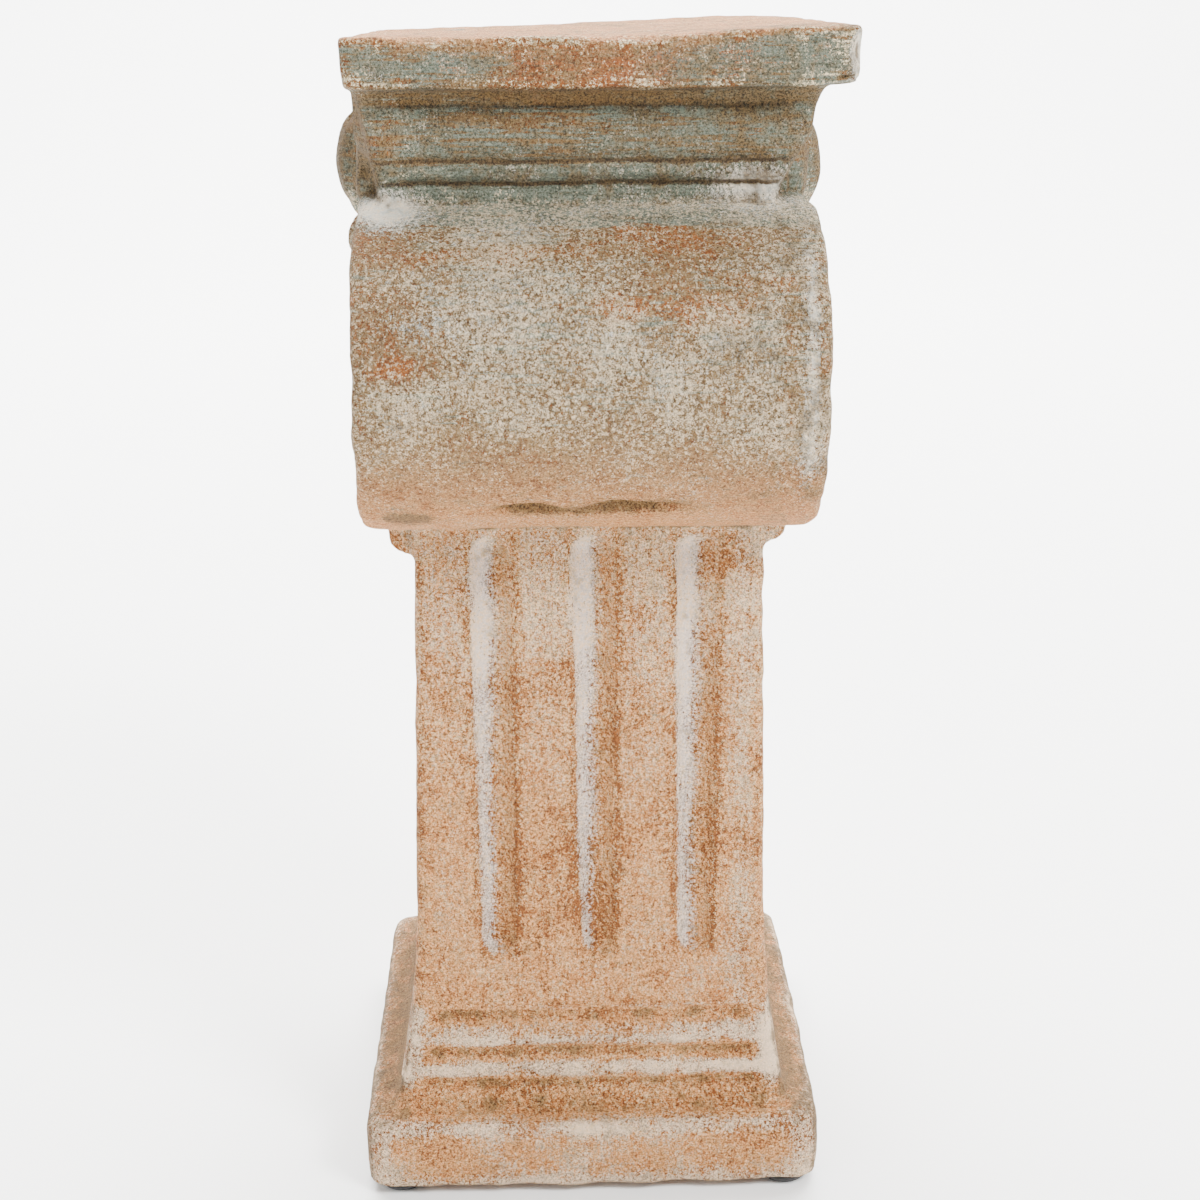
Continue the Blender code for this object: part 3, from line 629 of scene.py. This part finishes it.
def warp(points):
    """Bend the piece slightly, tilt the slab up at its right and press the right egg band in."""
    x, y, z = points.T
    moved = points.copy()
    for axis in range(3):
        moved[:, axis] += BEND[axis] * lumps(points, BEND_SIZE, 201 + axis)
    lift = ease(0.34, 0.36, z)
    back = held(y / (2.0 * SLAB_HALF) + 0.5)
    at_front = SLAB_LIFT_FRONT * ease(0.0, SLAB_END, x)
    at_back = SLAB_SLOPE_BACK * x - SLAB_DROP_BACK * ease(0.045, SLAB_END, x)
    moved[:, 2] += lift * ((1.0 - back) * at_front + back * at_back)
    right_band = ease(0.055, 0.062, x) * (1.0 - ease(0.05, 0.058, np.abs(y)))
    right_band *= ease(0.295, 0.31, z) - ease(0.34, 0.348, z)
    moved[:, 0] -= BAND_PRESSED * right_band
    return moved


def mark(points, centre, reach, depth):
    """Depth of a dent with a soft rim; centre and reach are in millimetres."""
    away = (points * 1000.0 - centre) / np.array(reach)
    return depth * np.exp(-np.einsum("ij,ij->i", away, away) ** 2)


points, outward, edges = mesh_arrays(clay)
points = warp(points)
ridges = held(stand_out(points, edges, outward, 12) / EDGE_RELIEF)
shift = sum(height * lumps(points, size, seed) for height, size, seed in LUMP_LAYERS)
shift -= EDGE_WEAR * ridges * held(lumps(points, 0.007, 214) + 0.35)
wavy = points.copy()
wavy[:, 2] += 0.0012 * lumps(points * (1.0, 0.2, 0.2), 0.01, 215)
for centre, reach, depth in CRACK_MARKS:
    shift -= mark(wavy, centre, reach, depth)
for centre, reach, depth in (HOLE_MARK, *CHIP_MARKS):
    shift -= mark(points, centre, reach, depth)
points += outward * shift[:, None]
clay.vertices.foreach_set("co", points.astype(np.float32).ravel())
clay.update()
print("surface pressed in by up to %.1f mm and out by up to %.1f mm"
      % (-shift.min() * 1000, shift.max() * 1000))

# %% [markdown]
# ## The finished skin
#
# The skin is thinned out to a sound number of triangles where it is flat, and then stands in for
# the plain solid body of the column.

# %% Thin the skin out and name the piece
thinned = new_item("clay_skin", clay)
thinned.modifiers.new("thin out", "DECIMATE").ratio = min(1.0, TRIANGLE_LIMIT / triangles(clay))
clay_mesh = finished_mesh(thinned, "column_clay")
clay_mesh.shade_smooth()
column_clay = new_item("column_clay", clay_mesh)
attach(column_clay, "root")
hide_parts("column_body")
print("clay: %d triangles" % triangles(clay_mesh))

# %% [markdown]
# ## Where the paint lies
#
# The clay was brushed with a pink-cream wash, a grey-green coat on the head, and thin white, and
# then rubbed, so the coats stay in broad patches and wear off on the edges. These patches are
# values on the points of the skin, from 0 to 1; the material breaks them up into fine grain.
# A hollow gets painted shade, a crest of the base gets a painted highlight, and an edge loses
# paint; all are read from the shape itself: a point that stands out from the middle of its
# neighbours is on an edge.

# %% Work out the patches of each coat
points, outward, edges = mesh_arrays(clay_mesh)
x, y, z = points.T
relief = stand_out(points, edges, outward, 4) / 0.00028
edge = held(relief)
hollow = held(-relief)
wide_relief = stand_out(points, edges, outward, 18) / 0.0007
crest = held(wide_relief)
cavity = held(-wide_relief)
broad = lumps(points, 0.03, 301)
medium = lumps(points, 0.011, 302)
level_streak = lumps(points * (0.35, 0.35, 2.6), 0.012, 303)
upright_streak = lumps(points * (2.4, 2.4, 0.35), 0.012, 304)
facing_up = held(outward[:, 2])


def spot(centre, reach):
    """1 at a centre given in millimetres, fading to 0 with the distance over reach."""
    away = (points * 1000.0 - centre) / np.array(reach)
    return np.exp(-np.einsum("ij,ij->i", away, away))


def band(low, high, soft=0.0015):
    """1 between two heights and 0 outside them."""
    return ease(low - soft, low + soft, z) * (1.0 - ease(high - soft, high + soft, z))


on_slab = band(NECK_TOP, 0.38)
on_neck = band(NECK_FOOT, NECK_TOP)
on_head = band(SHAFT_TOP - 0.001, NECK_FOOT)
on_shaft = band(SHAFT_FOOT, SHAFT_TOP)
on_base = band(0.0, SHAFT_FOOT)
front = ease(-0.055, -0.07, y)
wall = np.interp(z, [FLUTE_FOOT, FLUTE_TOP], [FLUTE_WIDTH_FOOT, FLUTE_WIDTH_TOP]) / 2
flute = np.zeros(len(points))
flute_left = np.zeros(len(points))
flute_line = np.zeros(len(points))
for face in range(4):
    turn = face * math.pi / 2
    across = x * math.cos(turn) + y * math.sin(turn)
    proud = x * math.sin(turn) - y * math.cos(turn)
    sunk = held((stem_half(np.minimum(z, SHAFT_TOP)) - proud) / FLUTE_DEPTH)
    for place in FLUTE_PLACES:
        inside = (np.abs(across - place) < 0.008) & (proud > 0.04) & (z < SHAFT_TOP)
        inside &= z > FLUTE_FOOT - 0.001
        flute = np.where(inside, np.maximum(flute, sunk), flute)
        flute_left = np.where(inside, ease(0.0048, -0.004, across - place), flute_left)
        line = np.exp(-((across - place - wall) / 0.001) ** 2)
        line += 0.55 * np.exp(-((across - place + wall) / 0.0008) ** 2)
        beside = (proud > 0.04) & (z > FLUTE_FOOT) & (z < SHAFT_TOP)
        flute_line = np.where(beside, flute_line + line, flute_line)
print("on an edge %.2f, in a hollow %.2f, in a flute %.2f"
      % tuple((share > 0.3).mean() for share in (edge, hollow, flute)))

# %% [markdown]
# ## Coat by coat
#
# Each coat is a sum: how much of it each part of the column holds, then soft random patches, then
# the single spots that the photo shows, each with its centre and reach in millimetres.

# %% Shares of each coat
def keep(name, share):
    """Store a value on each point of the skin, for the material to read."""
    layer = clay_mesh.attributes.new(name, "FLOAT", "POINT")
    layer.data.foreach_set("value", share.astype(np.float32))
    print("%-12s mean %.2f" % (name, share.mean()))


upper = on_slab + on_neck + on_head
slab_middle = np.exp(-((x - 0.004) / 0.04) ** 2) * front
below_bead = band(NECK_FOOT - 0.003, NECK_FOOT + 0.0044, 0.0008) * (np.abs(y) > 0.045)
teal = on_slab * (0.66 - 0.36 * slab_middle - 0.7 * facing_up) + on_neck * 0.55
teal += on_head * (0.4 * ease(0.245, 0.28, z) + 0.85 * band(0.3125, NECK_FOOT, 0.002))
teal += 0.2 * broad + 0.16 * medium + 0.26 * level_streak * upper
teal += 0.4 * spot((62, -71, 355), (14, 8, 8)) + 0.35 * spot((46, -61, 336), (16, 8, 12))
teal += 0.35 * band(0.342, 0.3445, 0.0006) * on_neck + 0.4 * band(0.3225, 0.3275, 0.0006)
teal += 0.6 * below_bead
teal *= upper

# The white coat also holds painted highlights: the crests and beads of the base, the lit left walls
# of the flutes and spots at the right-hand ends of the roll, slab, shaft and base.
white_and_highlight = on_slab * 0.04 + on_neck * 0.05 + on_base * (0.16 + 0.55 * crest + 0.1 * edge)
white_and_highlight += on_head * (0.1 + 0.13 * ease(0.248, 0.285, z))
white_and_highlight += on_shaft * (0.21 + 0.24 * ease(0.11, 0.2, z) - 0.1 * flute)
# Painted highlight on the left wall of each flute, which faces the light.
white_and_highlight += 0.62 * flute_left * ease(0.0, 0.5, flute)
# Painted highlights along the crests of the two base beads.
white_and_highlight += 0.22 * on_base * (band(0.048, 0.051, 0.001) + 1.4 * band(0.0365, 0.0415, 0.001))
white_and_highlight += 0.18 * broad + 0.16 * medium + 0.1 * upright_streak * on_shaft
white_and_highlight += 1.2 * spot((-57, -62, 316), (9, 14, 6)) + 0.9 * spot((47, -60, 322), (13, 9, 6))
# Painted highlights on the right-hand ends of the roll and the slab.
white_and_highlight += 1.0 * spot((60.5, -90, 279), (1.5, 24, 30)) + 1.4 * spot((74, -71, 357), (3.5, 12, 9))
# The second spot here and both spots on the next line are painted highlights down the right-hand side
# of the roll, the shaft and the base.
white_and_highlight += 0.3 * spot((-47, -93, 288), (14, 9, 4)) + 0.35 * spot((62, -85, 250), (6, 20, 9))
white_and_highlight += 0.3 * spot((48, -50, 100), (3, 20, 70)) + 0.35 * spot((56, -60, 40), (4, 12, 22))

wash = on_slab * (0.82 + 0.02 * facing_up) + on_neck * 0.88 + on_base * 0.8
wash += on_head * (0.86 + 0.15 * ease(0.265, 0.238, z)) + on_shaft * 0.76
wash += 0.16 * broad + 0.18 * medium

worn_edge = ease(0.3, 0.9, edge)
bare_and_shade = worn_edge * (0.45 * on_shaft + 0.15 * on_base + 0.3 * on_slab + 0.2 * on_head)
bare_and_shade += 0.16 * on_shaft * ease(0.0, 0.8, upright_streak)
# Flute edges worn bare, and painted shade as darker bare clay on the right wall of each flute.
bare_and_shade += on_shaft * flute_line * (0.55 + 0.3 * medium) + 0.22 * flute * (1.0 - flute_left)
bare_and_shade += 1.0 * spot((-53, -94, 277), (6, 9, 1.8)) + 0.42 * spot((28, -74, 309), (22, 9, 4))
bare_and_shade += 0.4 * spot((-55, -60, 336), (5, 6, 6)) + 0.3 * spot((46, -61, 336), (5, 6, 8))
bare_and_shade += 0.55 * on_head * ease(0.1, 0.8, level_streak + 0.5 * medium) * ease(0.26, 0.28, z)
bare_and_shade += 0.9 * spot((54.5, -94, 275), (1.1, 20, 32)) * (0.7 + 0.5 * medium)
# Painted shade as bare clay in the crevice under the roll and in the hollows of the base.
bare_and_shade += 0.4 * spot((8, -78, 232.4), (20, 7, 2.0)) + 0.42 * cavity * on_base
# Painted shade as bare clay in the hollow step above the plinth.
bare_and_shade += 0.22 * band(0.026, 0.034) * (0.6 + 0.6 * medium)

# Painted shade darkens the hollows, the cavetto under the slab and the broad hollows of the base and
# head; the rest of this coat is darker tone and dirt.
dirt_and_shade = 0.75 * hollow * (0.6 * on_neck + on_slab + 0.7 * on_head + 0.5 * on_base + 0.2 * on_shaft)
dirt_and_shade += 0.34 * band(0.3445, 0.349, 0.001) + 0.3 * on_neck + 0.12 * on_slab * (1.0 - facing_up)
dirt_and_shade += cavity * (0.1 * on_base + 0.3 * on_head) + 0.07 * on_head + 0.3 * on_slab * facing_up
dirt_and_shade += 0.26 * on_head * ease(0.02, 0.054, x) * (y < -0.05)
dirt_and_shade += 0.2 * (on_slab + on_neck) * ease(0.0, 0.05, x) * (y < -0.05)
# Painted shadow in the crevices under the front roll.
dirt_and_shade += 1.3 * spot((12, -80, 234.5), (13, 7, 2.2)) + 1.1 * spot((-52, -75, 230), (7, 9, 3))
dirt_and_shade += 1.0 * spot((-18, -78, 233.6), (9, 7, 2)) + 0.6 * spot((-3, -78, 232.6), (9, 7, 1.6))
dirt_and_shade -= 0.35 * below_bead
# Painted shade in the hollow step above the plinth.
dirt_and_shade += 0.16 * band(0.027, 0.031) * on_base
# Painted shade on the faces that turn to the left and right.
sides = ease(0.045, 0.06, np.abs(x)) * ease(0.55, 0.85, np.abs(outward[:, 0]))
dirt_and_shade += 0.62 * sides * (on_base + on_neck + 0.4 * on_shaft + 0.5 * on_head * ease(0.29, 0.31, z))
# Painted shade inside the hole by the leaf.
dirt_and_shade += 2.5 * spot((-65, -54, 325), (4, 9, 5))
# Painted shade on the tops of the plinth's left and right ends.
dirt_and_shade += 0.55 * on_base * facing_up * ease(0.056, 0.063, np.abs(x)) * (z < 0.035)

fleck = on_slab * edge * (0.55 + 0.5 * ease(0.0, 0.7, medium)) * front
fleck += 0.55 * on_neck * edge * ease(0.1, 0.8, level_streak) + 0.2 * slab_middle * on_slab
streak = on_slab * (1.0 - facing_up) * (0.2 + 0.34 * slab_middle + 0.16 * medium) + 0.08 * on_neck
speckle = on_head * (0.22 + 0.22 * ease(0.236, 0.262, z)) + 0.14 * on_neck
speckle += on_shaft * (0.26 + 0.14 * ease(0.09, 0.2, z)) + 0.26 * on_base
speckle += on_slab * (0.12 + 0.04 * facing_up) + 0.14 * medium + 0.14 * broad * on_head

head = on_slab * (1.0 - 0.9 * facing_up) + on_neck + on_head * ease(0.215, 0.265, z)
coats = {"head": head, "teal_coat": teal, "white_coat_and_highlight": white_and_highlight, "wash_coat": wash, "bare_clay_and_shade": bare_and_shade,
         "dirt_and_shade": dirt_and_shade, "cream_fleck": fleck, "flute_left": flute_left * flute, "streak": streak,
         "speckle": speckle}
for name, share in coats.items():
    keep(name, held(share))

# %% [markdown]
# ## Drawn lines
#
# The neck's level lines wander a little, and they and the line where the slab meets the neck are
# darkened as painted shade. Each point keeps its height less that wander, and the material darkens
# narrow strips of this height.

# %% Heights for the drawn lines
facing_side = np.abs(outward[:, 0]) > np.abs(outward[:, 1])
drift = np.where(y < 0, neck_drift(x, 0), neck_drift(-x, 2))
keep("drawn_height", z - np.where(on_neck > 0.5, drift, 0.0))
keep("line_share", (1.0 - 0.8 * facing_side) * ease(0.063, 0.056, np.abs(x)))

# %% [markdown]
# ## Grain and brush marks
#
# The helpers add nodes to `tree`, the node tree at hand.
#
# Four small node groups make the fine detail. `Clay grain` is the sandy surface that the paint
# caught on. `Worn coat` turns a patch value and the grain into a mask with ragged edges: the coat
# stays where the grain stands higher than the wear. `Drawn line` is a soft strip about one height.
# `Brush marks` is a grain drawn out in one direction.

# %% Node helpers and groups
def tone(red, green, blue):
    """A colour as a painter would read it from a screen, 0 to 255, turned into scene values."""
    share = np.array((red, green, blue)) / 255.0
    scene_value = np.where(share <= 0.04045, share / 12.92, ((share + 0.055) / 1.055) ** 2.4)
    return (*scene_value.tolist(), 1.0)


def put(kind, inputs=None, **settings):
    """Add a shader node to tree; inputs are sockets to link or plain values, by name or number."""
    node = tree.nodes.new("ShaderNode" + kind)
    for key, value in settings.items():
        setattr(node, key, value)
    for key, value in (inputs or {}).items():
        if isinstance(value, bpy.types.NodeSocket):
            tree.links.new(value, node.inputs[key])
        else:
            node.inputs[key].default_value = value
    return node


def maths(operation, first, second=0.0, third=0.0, clamp=False):
    """One operation on values; MULTIPLY_ADD gives first * second + third."""
    node = put("Math", {0: first, 1: second, 2: third}, operation=operation)
    node.use_clamp = clamp
    return node.outputs[0]


def two_parts(first, part, second):
    """first * part + second * (1 - part)."""
    return maths("MULTIPLY_ADD", first, part, maths("MULTIPLY", second, 1.0 - part))


def spread_out(value, low, high, start=0.0, end=1.0, curve="LINEAR"):
    """start where the value is low or less, end where it is high or more, and between them."""
    inputs = {0: value, 1: low, 2: high, 3: start, 4: end}
    return put("MapRange", inputs, interpolation_type=curve).outputs[0]


def blend(share, under, over):
    """Colour under where share is 0 and colour over where it is 1."""
    node = put("Mix", {0: share, 6: under, 7: over}, data_type="RGBA")
    return node.outputs[2]


def new_group(name, output, **inputs):
    """A node group with one named output; a single value makes a value input, three a vector."""
    group = bpy.data.node_groups.new(name, "ShaderNodeTree")
    for key, value in inputs.items():
        kind = "NodeSocketVector" if isinstance(value, tuple) else "NodeSocketFloat"
        socket = group.interface.new_socket(key.replace("_", " "), in_out="INPUT", socket_type=kind)
        socket.default_value = value
    group.interface.new_socket(output, in_out="OUTPUT", socket_type="NodeSocketFloat")
    return group, group.nodes.new("NodeGroupInput").outputs, group.nodes.new("NodeGroupOutput").inputs


def noise(place, scale, detail, rough):
    """Cloudy noise at a place, with a number of finer layers and how strong they are."""
    inputs = {"Vector": place, "Scale": scale, "Detail": detail, "Roughness": rough}
    return put("TexNoise", inputs).outputs["Fac"]


tree, given, made = new_group("Clay grain", "Height", Place=(0.0, 0.0, 0.0), Size=0.0012)
per_metre = maths("DIVIDE", 1.0, given["Size"])
coarse = noise(given["Place"], per_metre, 3.0, 0.6)
fine = noise(given["Place"], maths("MULTIPLY", per_metre, 2.9), 2.0, 0.6)
mixed = two_parts(fine, 0.45, coarse)
tree.links.new(spread_out(mixed, 0.38, 0.62), made["Height"])
grain_group = tree

tree, given, made = new_group("Worn coat", "Mask", Share=0.5, Grain=0.5, Softness=0.15)
bar = maths("MULTIPLY_ADD", given["Share"], -1.24, 1.12)
low = maths("SUBTRACT", bar, given["Softness"])
high = maths("ADD", bar, given["Softness"])
mask = spread_out(given["Grain"], low, high, curve="SMOOTHSTEP")
tree.links.new(mask, made["Mask"])
worn_group = tree

tree, given, made = new_group("Drawn line", "Mask", Height=0.0, Middle=0.0, Half_width=0.0005)
away = maths("ABSOLUTE", maths("SUBTRACT", given["Height"], given["Middle"]))
share = maths("DIVIDE", away, given["Half width"])
fade = spread_out(share, 0.35, 1.3, 1.0, 0.0, "SMOOTHSTEP")
tree.links.new(fade, made["Mask"])
line_group = tree

tree, given, made = new_group("Brush marks", "Height", Place=(0.0, 0.0, 0.0),
                              Stretch=(1.0, 1.0, 1.0))
drawn = put("VectorMath", {0: given["Place"], 1: given["Stretch"]},
            operation="MULTIPLY").outputs[0]
marks = noise(drawn, 1.0, 4.0, 0.6)
tree.links.new(spread_out(marks, 0.3, 0.7), made["Height"])
brush_group = tree

# %% [markdown]
# ## The painted clay
#
# The coats lie over one another as they were brushed on: terracotta, the pink-cream wash,
# grey-green on the head, thin white that also holds painted highlights, pale sand, orange streaks on
# the slab, cream flecks on edges, and brown dirt with painted shade in the hollows and on the sides.
# Every coat is a mask over the ones below. The dark drawn lines of painted shade and the shade of
# the pits come last. The white also lifts the surface, since paint has a thickness.

# %% Painted clay material
LEVEL_BRUSH = (70.0, 70.0, 1100.0)
UPRIGHT_BRUSH = (800.0, 800.0, 60.0)
# The drawn lines are painted shade in the neck's grooves and along the foot of the slab.
LINES = ((NECK_FOOT + NECK_LINES[0], 0.0008, 0.95), (NECK_FOOT + NECK_LINES[1], 0.0007, 0.95),
         (NECK_FOOT + NECK_LINES[2], 0.0004, 0.65), (NECK_TOP + 0.0004, 0.0007, 0.75))
TERRACOTTA = (tone(108, 58, 24), tone(182, 112, 56))
SHAFT_WASH = (tone(176, 98, 42), tone(254, 190, 124))
HEAD_WASH = (tone(70, 54, 34), tone(172, 140, 98))
GREY_GREEN = (tone(66, 78, 66), tone(134, 146, 130))
SHAFT_WHITE = tone(238, 208, 174)
HEAD_WHITE = (tone(232, 216, 192), tone(204, 208, 200))
# Painted highlight colour for the lit left walls of the flutes.
FLUTE_HIGHLIGHT = tone(234, 216, 206)
SAND = (tone(252, 214, 160), tone(236, 212, 174))
ORANGE = tone(158, 84, 34)
CREAM = tone(244, 224, 180)
# Colours for dirt and painted shade.
DIRT_AND_SHADE = (tone(68, 50, 26), tone(128, 100, 60))
LINE_SHADE = (tone(52, 40, 26), tone(92, 74, 50))

clay_paint = bpy.data.materials.new("painted_clay_worn")
clay_paint.use_nodes = True
tree = clay_paint.node_tree
shader = tree.nodes["Principled BSDF"]
place = put("TexCoord").outputs["Object"]


def group_node(group, inputs):
    """The output of a node group that is set into the material at hand."""
    return put("Group", inputs, node_tree=group).outputs[0]


def coat(name):
    """The value that the points of the skin keep under a name."""
    return put("Attribute", attribute_name=name).outputs["Fac"]


grain = group_node(grain_group, {"Place": place, "Size": 0.001})
grit = group_node(grain_group, {"Place": place, "Size": 0.0006})
moved_place = put("VectorMath", {0: place, 1: (0.37, 0.11, 0.23)}, operation="ADD")
sand = group_node(grain_group, {"Place": moved_place.outputs[0], "Size": 0.0012})
patches = group_node(grain_group, {"Place": place, "Size": 0.0075})
level_marks = group_node(brush_group, {"Place": place, "Stretch": LEVEL_BRUSH})
upright_marks = group_node(brush_group, {"Place": place, "Stretch": UPRIGHT_BRUSH})


def swayed(share, marks, amount):
    """share + amount * (marks - 0.5)."""
    return maths("MULTIPLY_ADD", maths("SUBTRACT", marks, 0.5), amount, share)


def weathered(share, marks, amount):
    """A coat's share swayed by brush marks and patches, less the bare clay and the painted shade kept
    with it.
    """
    moved = swayed(swayed(share, marks, amount), patches, amount * 0.7)
    return maths("MULTIPLY_ADD", coat("bare_clay_and_shade"), -0.75, moved)


def coated(share, softness, heights=grain):
    """The mask of a coat, ragged where the heights are near its share."""
    return group_node(worn_group, {"Share": share, "Grain": heights, "Softness": softness})


wash_mask = coated(weathered(coat("wash_coat"), upright_marks, 0.3), 0.22)
white_and_highlight_mask = coated(weathered(coat("white_coat_and_highlight"), upright_marks, 0.35), 0.16)
brushed = two_parts(level_marks, 0.55, sand)
teal_mask = coated(weathered(coat("teal_coat"), level_marks, 0.4), 0.16, brushed)
fleck_mask = coated(maths("MULTIPLY", coat("cream_fleck"), level_marks), 0.1)
streak_mask = coated(coat("streak"), 0.1, two_parts(level_marks, 0.6, grain))
sand_mask = coated(coat("speckle"), 0.14, sand)
dirt_and_shade_mask = coated(coat("dirt_and_shade"), 0.55, patches)

head = coat("head")
mottle = two_parts(patches, 0.45, grain)
wash = blend(head, blend(mottle, *SHAFT_WASH), blend(mottle, *HEAD_WASH))
plain_white = blend(head, SHAFT_WHITE, blend(patches, *HEAD_WHITE))
# The lit left walls of the flutes take the painted highlight colour.
white_and_highlight = blend(coat("flute_left"), plain_white, FLUTE_HIGHLIGHT)
coats = ((wash_mask, 1.0, wash), (teal_mask, 0.85, blend(level_marks, *GREY_GREEN)),
         (white_and_highlight_mask, 1.0, white_and_highlight), (sand_mask, 0.7, blend(head, *SAND)),
         (streak_mask, 0.8, ORANGE), (fleck_mask, 1.0, CREAM),
         (dirt_and_shade_mask, 0.85, blend(grit, *DIRT_AND_SHADE)))
colour = blend(grain, *TERRACOTTA)
for mask, strength, paint in coats:
    colour = blend(maths("MULTIPLY", mask, strength), colour, paint)

# Painted shade along the drawn lines.
wobbly = swayed(coat("drawn_height"), patches, 0.0007)
lines = 0.0
for middle, half_width, strength in LINES:
    line = group_node(line_group, {"Height": wobbly, "Middle": middle, "Half width": half_width})
    lines = maths("MAXIMUM", maths("MULTIPLY", line, strength), lines)
lines = maths("MULTIPLY", lines, coat("line_share"))
lines = maths("MULTIPLY", lines, maths("MULTIPLY_ADD", level_marks, 0.7, 0.55), clamp=True)
colour = blend(lines, colour, blend(grit, *LINE_SHADE))

thick_white = spread_out(coat("white_coat_and_highlight"), 0.55, 0.95, 0.0, 0.8)
thick_white = maths("MULTIPLY", thick_white, white_and_highlight_mask)
pits = maths("MAXIMUM", spread_out(grit, 0.15, 0.7, 0.26, 1.0), thick_white)
pit_shade = put("CombineColor", {0: pits, 1: pits, 2: pits}).outputs[0]
shaded = put("Mix", {0: 1.0, 6: colour, 7: pit_shade}, data_type="RGBA",
             blend_type="MULTIPLY")
tree.links.new(shaded.outputs[2], shader.inputs["Base Color"])

height = maths("MULTIPLY", grain, 0.55)
height = maths("MULTIPLY_ADD", grit, 0.3, height)
height = maths("MULTIPLY_ADD", white_and_highlight_mask, 0.25, height)
height = maths("MULTIPLY_ADD", level_marks, 0.12, height)
bump = put("Bump", {"Height": height, "Strength": 1.0, "Distance": 0.0006})
tree.links.new(bump.outputs[0], shader.inputs["Normal"])
rough = maths("MULTIPLY_ADD", grain, 0.12, 0.78)
tree.links.new(rough, shader.inputs["Roughness"])
shader.inputs["Specular IOR Level"].default_value = 0.25
clay_mesh.materials.clear()
clay_mesh.materials.append(clay_paint)
print("painted clay: %d coats, %d drawn lines, %d nodes" % (len(coats), len(LINES), len(tree.nodes)))

# %% [markdown]
# ## Rubber feet
#
# The feet are the solid part's own bumpers, with a dull black rubber that has dusty specks.

# %% Rubber material
rubber = bpy.data.materials.new("black_rubber_dusty")
rubber.use_nodes = True
tree = rubber.node_tree
shader = tree.nodes["Principled BSDF"]
place = put("TexCoord").outputs["Object"]
dust = group_node(grain_group, {"Place": place, "Size": 0.001})
dust_mask = group_node(worn_group, {"Share": 0.2, "Grain": dust, "Softness": 0.3})
tree.links.new(blend(dust_mask, tone(20, 20, 21), tone(58, 55, 52)), shader.inputs["Base Color"])
tree.links.new(maths("MULTIPLY_ADD", dust, 0.25, 0.5), shader.inputs["Roughness"])
for name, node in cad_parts.items():
    if name.startswith("foot_"):
        node.data.materials.clear()
        node.data.materials.append(rubber)
        print("rubber on", name)

# %% [markdown]
# ## Camera
#
# The camera stands where the photo was taken from: just above the slab, looking down by 18
# degrees. Its directions come from three angles: a turn to the right, the look down and a small
# roll.

# %% Camera
CAMERA_PLACE = (-0.0128, -0.6017, 0.3801)
CAMERA_ANGLES = (1.66, 18.4, -0.22)
camera_data = bpy.data.cameras.new("camera")
camera_data.lens = 57.0
camera_data.sensor_width = 36.0
camera = new_item("camera", camera_data)
yaw, pitch, roll = (math.radians(angle) for angle in CAMERA_ANGLES)
ahead = Vector((math.sin(yaw), math.cos(yaw), 0.0))
right = Vector((math.cos(yaw), -math.sin(yaw), 0.0))
up = Vector((0.0, 0.0, 1.0))
sight = ahead * math.cos(pitch) - up * math.sin(pitch)
level_up = up * math.cos(pitch) + ahead * math.sin(pitch)
camera_right = right * math.cos(roll) + level_up * math.sin(roll)
camera_up = level_up * math.cos(roll) - right * math.sin(roll)
turned = Matrix((camera_right, camera_up, -sight)).transposed().to_4x4()
camera.matrix_world = Matrix.Translation(CAMERA_PLACE) @ turned
bpy.context.scene.camera = camera
print("camera %.2f m from the column's axis" % math.hypot(*CAMERA_PLACE[:2]))

# %% [markdown]
# ## Floor and light
#
# A pale floor bends up into a wall behind the column. The light is a soft window from the upper
# right, a weaker one from the left, one on the ground behind and a pale room all round.

# %% Floor and lights
FLOOR_HALF = 5.0
FLOOR_NEAR = -4.0
BEND_START = 1.6
BEND_RADIUS = 1.2
WALL_TOP = 5.0
COLUMN_MIDDLE = (0.0, 0.0, 0.2)

sweep = np.linspace(0.0, math.pi / 2, 25)
bend = zip(BEND_START + BEND_RADIUS * np.sin(sweep), BEND_RADIUS - BEND_RADIUS * np.cos(sweep))
line = [(FLOOR_NEAR, 0.0), *bend, (BEND_START + BEND_RADIUS, WALL_TOP)]
floor_points = [(side * FLOOR_HALF, y, z) for y, z in line for side in (-1, 1)]
floor_faces = [(2 * row, 2 * row + 1, 2 * row + 3, 2 * row + 2) for row in range(len(line) - 1)]
floor_mesh = bpy.data.meshes.new("floor")
floor_mesh.from_pydata(floor_points, [], floor_faces)
floor_mesh.shade_smooth()
floor = new_item("floor", floor_mesh)
floor_paint = bpy.data.materials.new("pale_floor")
floor_paint.use_nodes = True
floor_shader = floor_paint.node_tree.nodes["Principled BSDF"]
floor_shader.inputs["Base Color"].default_value = (0.9, 0.9, 0.89, 1.0)
floor_shader.inputs["Roughness"].default_value = 0.9
floor_mesh.materials.append(floor_paint)

room = bpy.data.worlds.new("pale_room")
room.use_nodes = True
room_light = room.node_tree.nodes["Background"]
room_light.inputs["Color"].default_value = (1.0, 1.0, 1.0, 1.0)
room_light.inputs["Strength"].default_value = 0.36
bpy.context.scene.world = room


def window(name, place, target, size, power):
    """A square soft light that looks at a target."""
    data = bpy.data.lights.new(name, "AREA")
    data.energy = power
    data.size = size
    lamp = new_item(name, data)
    lamp.location = place
    lamp.rotation_euler = (Vector(target) - Vector(place)).to_track_quat("-Z", "Y").to_euler()
    print("%s: %.0f W" % (name, power))


window("window_left", (-1.1, -0.9, 0.9), COLUMN_MIDDLE, 0.8, 12.0)
window("window_right", (0.9, -0.9, 1.3), COLUMN_MIDDLE, 0.5, 57.0)
window("backdrop_light", (0.0, 1.7, 2.6), (0.0, 2.4, 0.0), 3.0, 700.0)
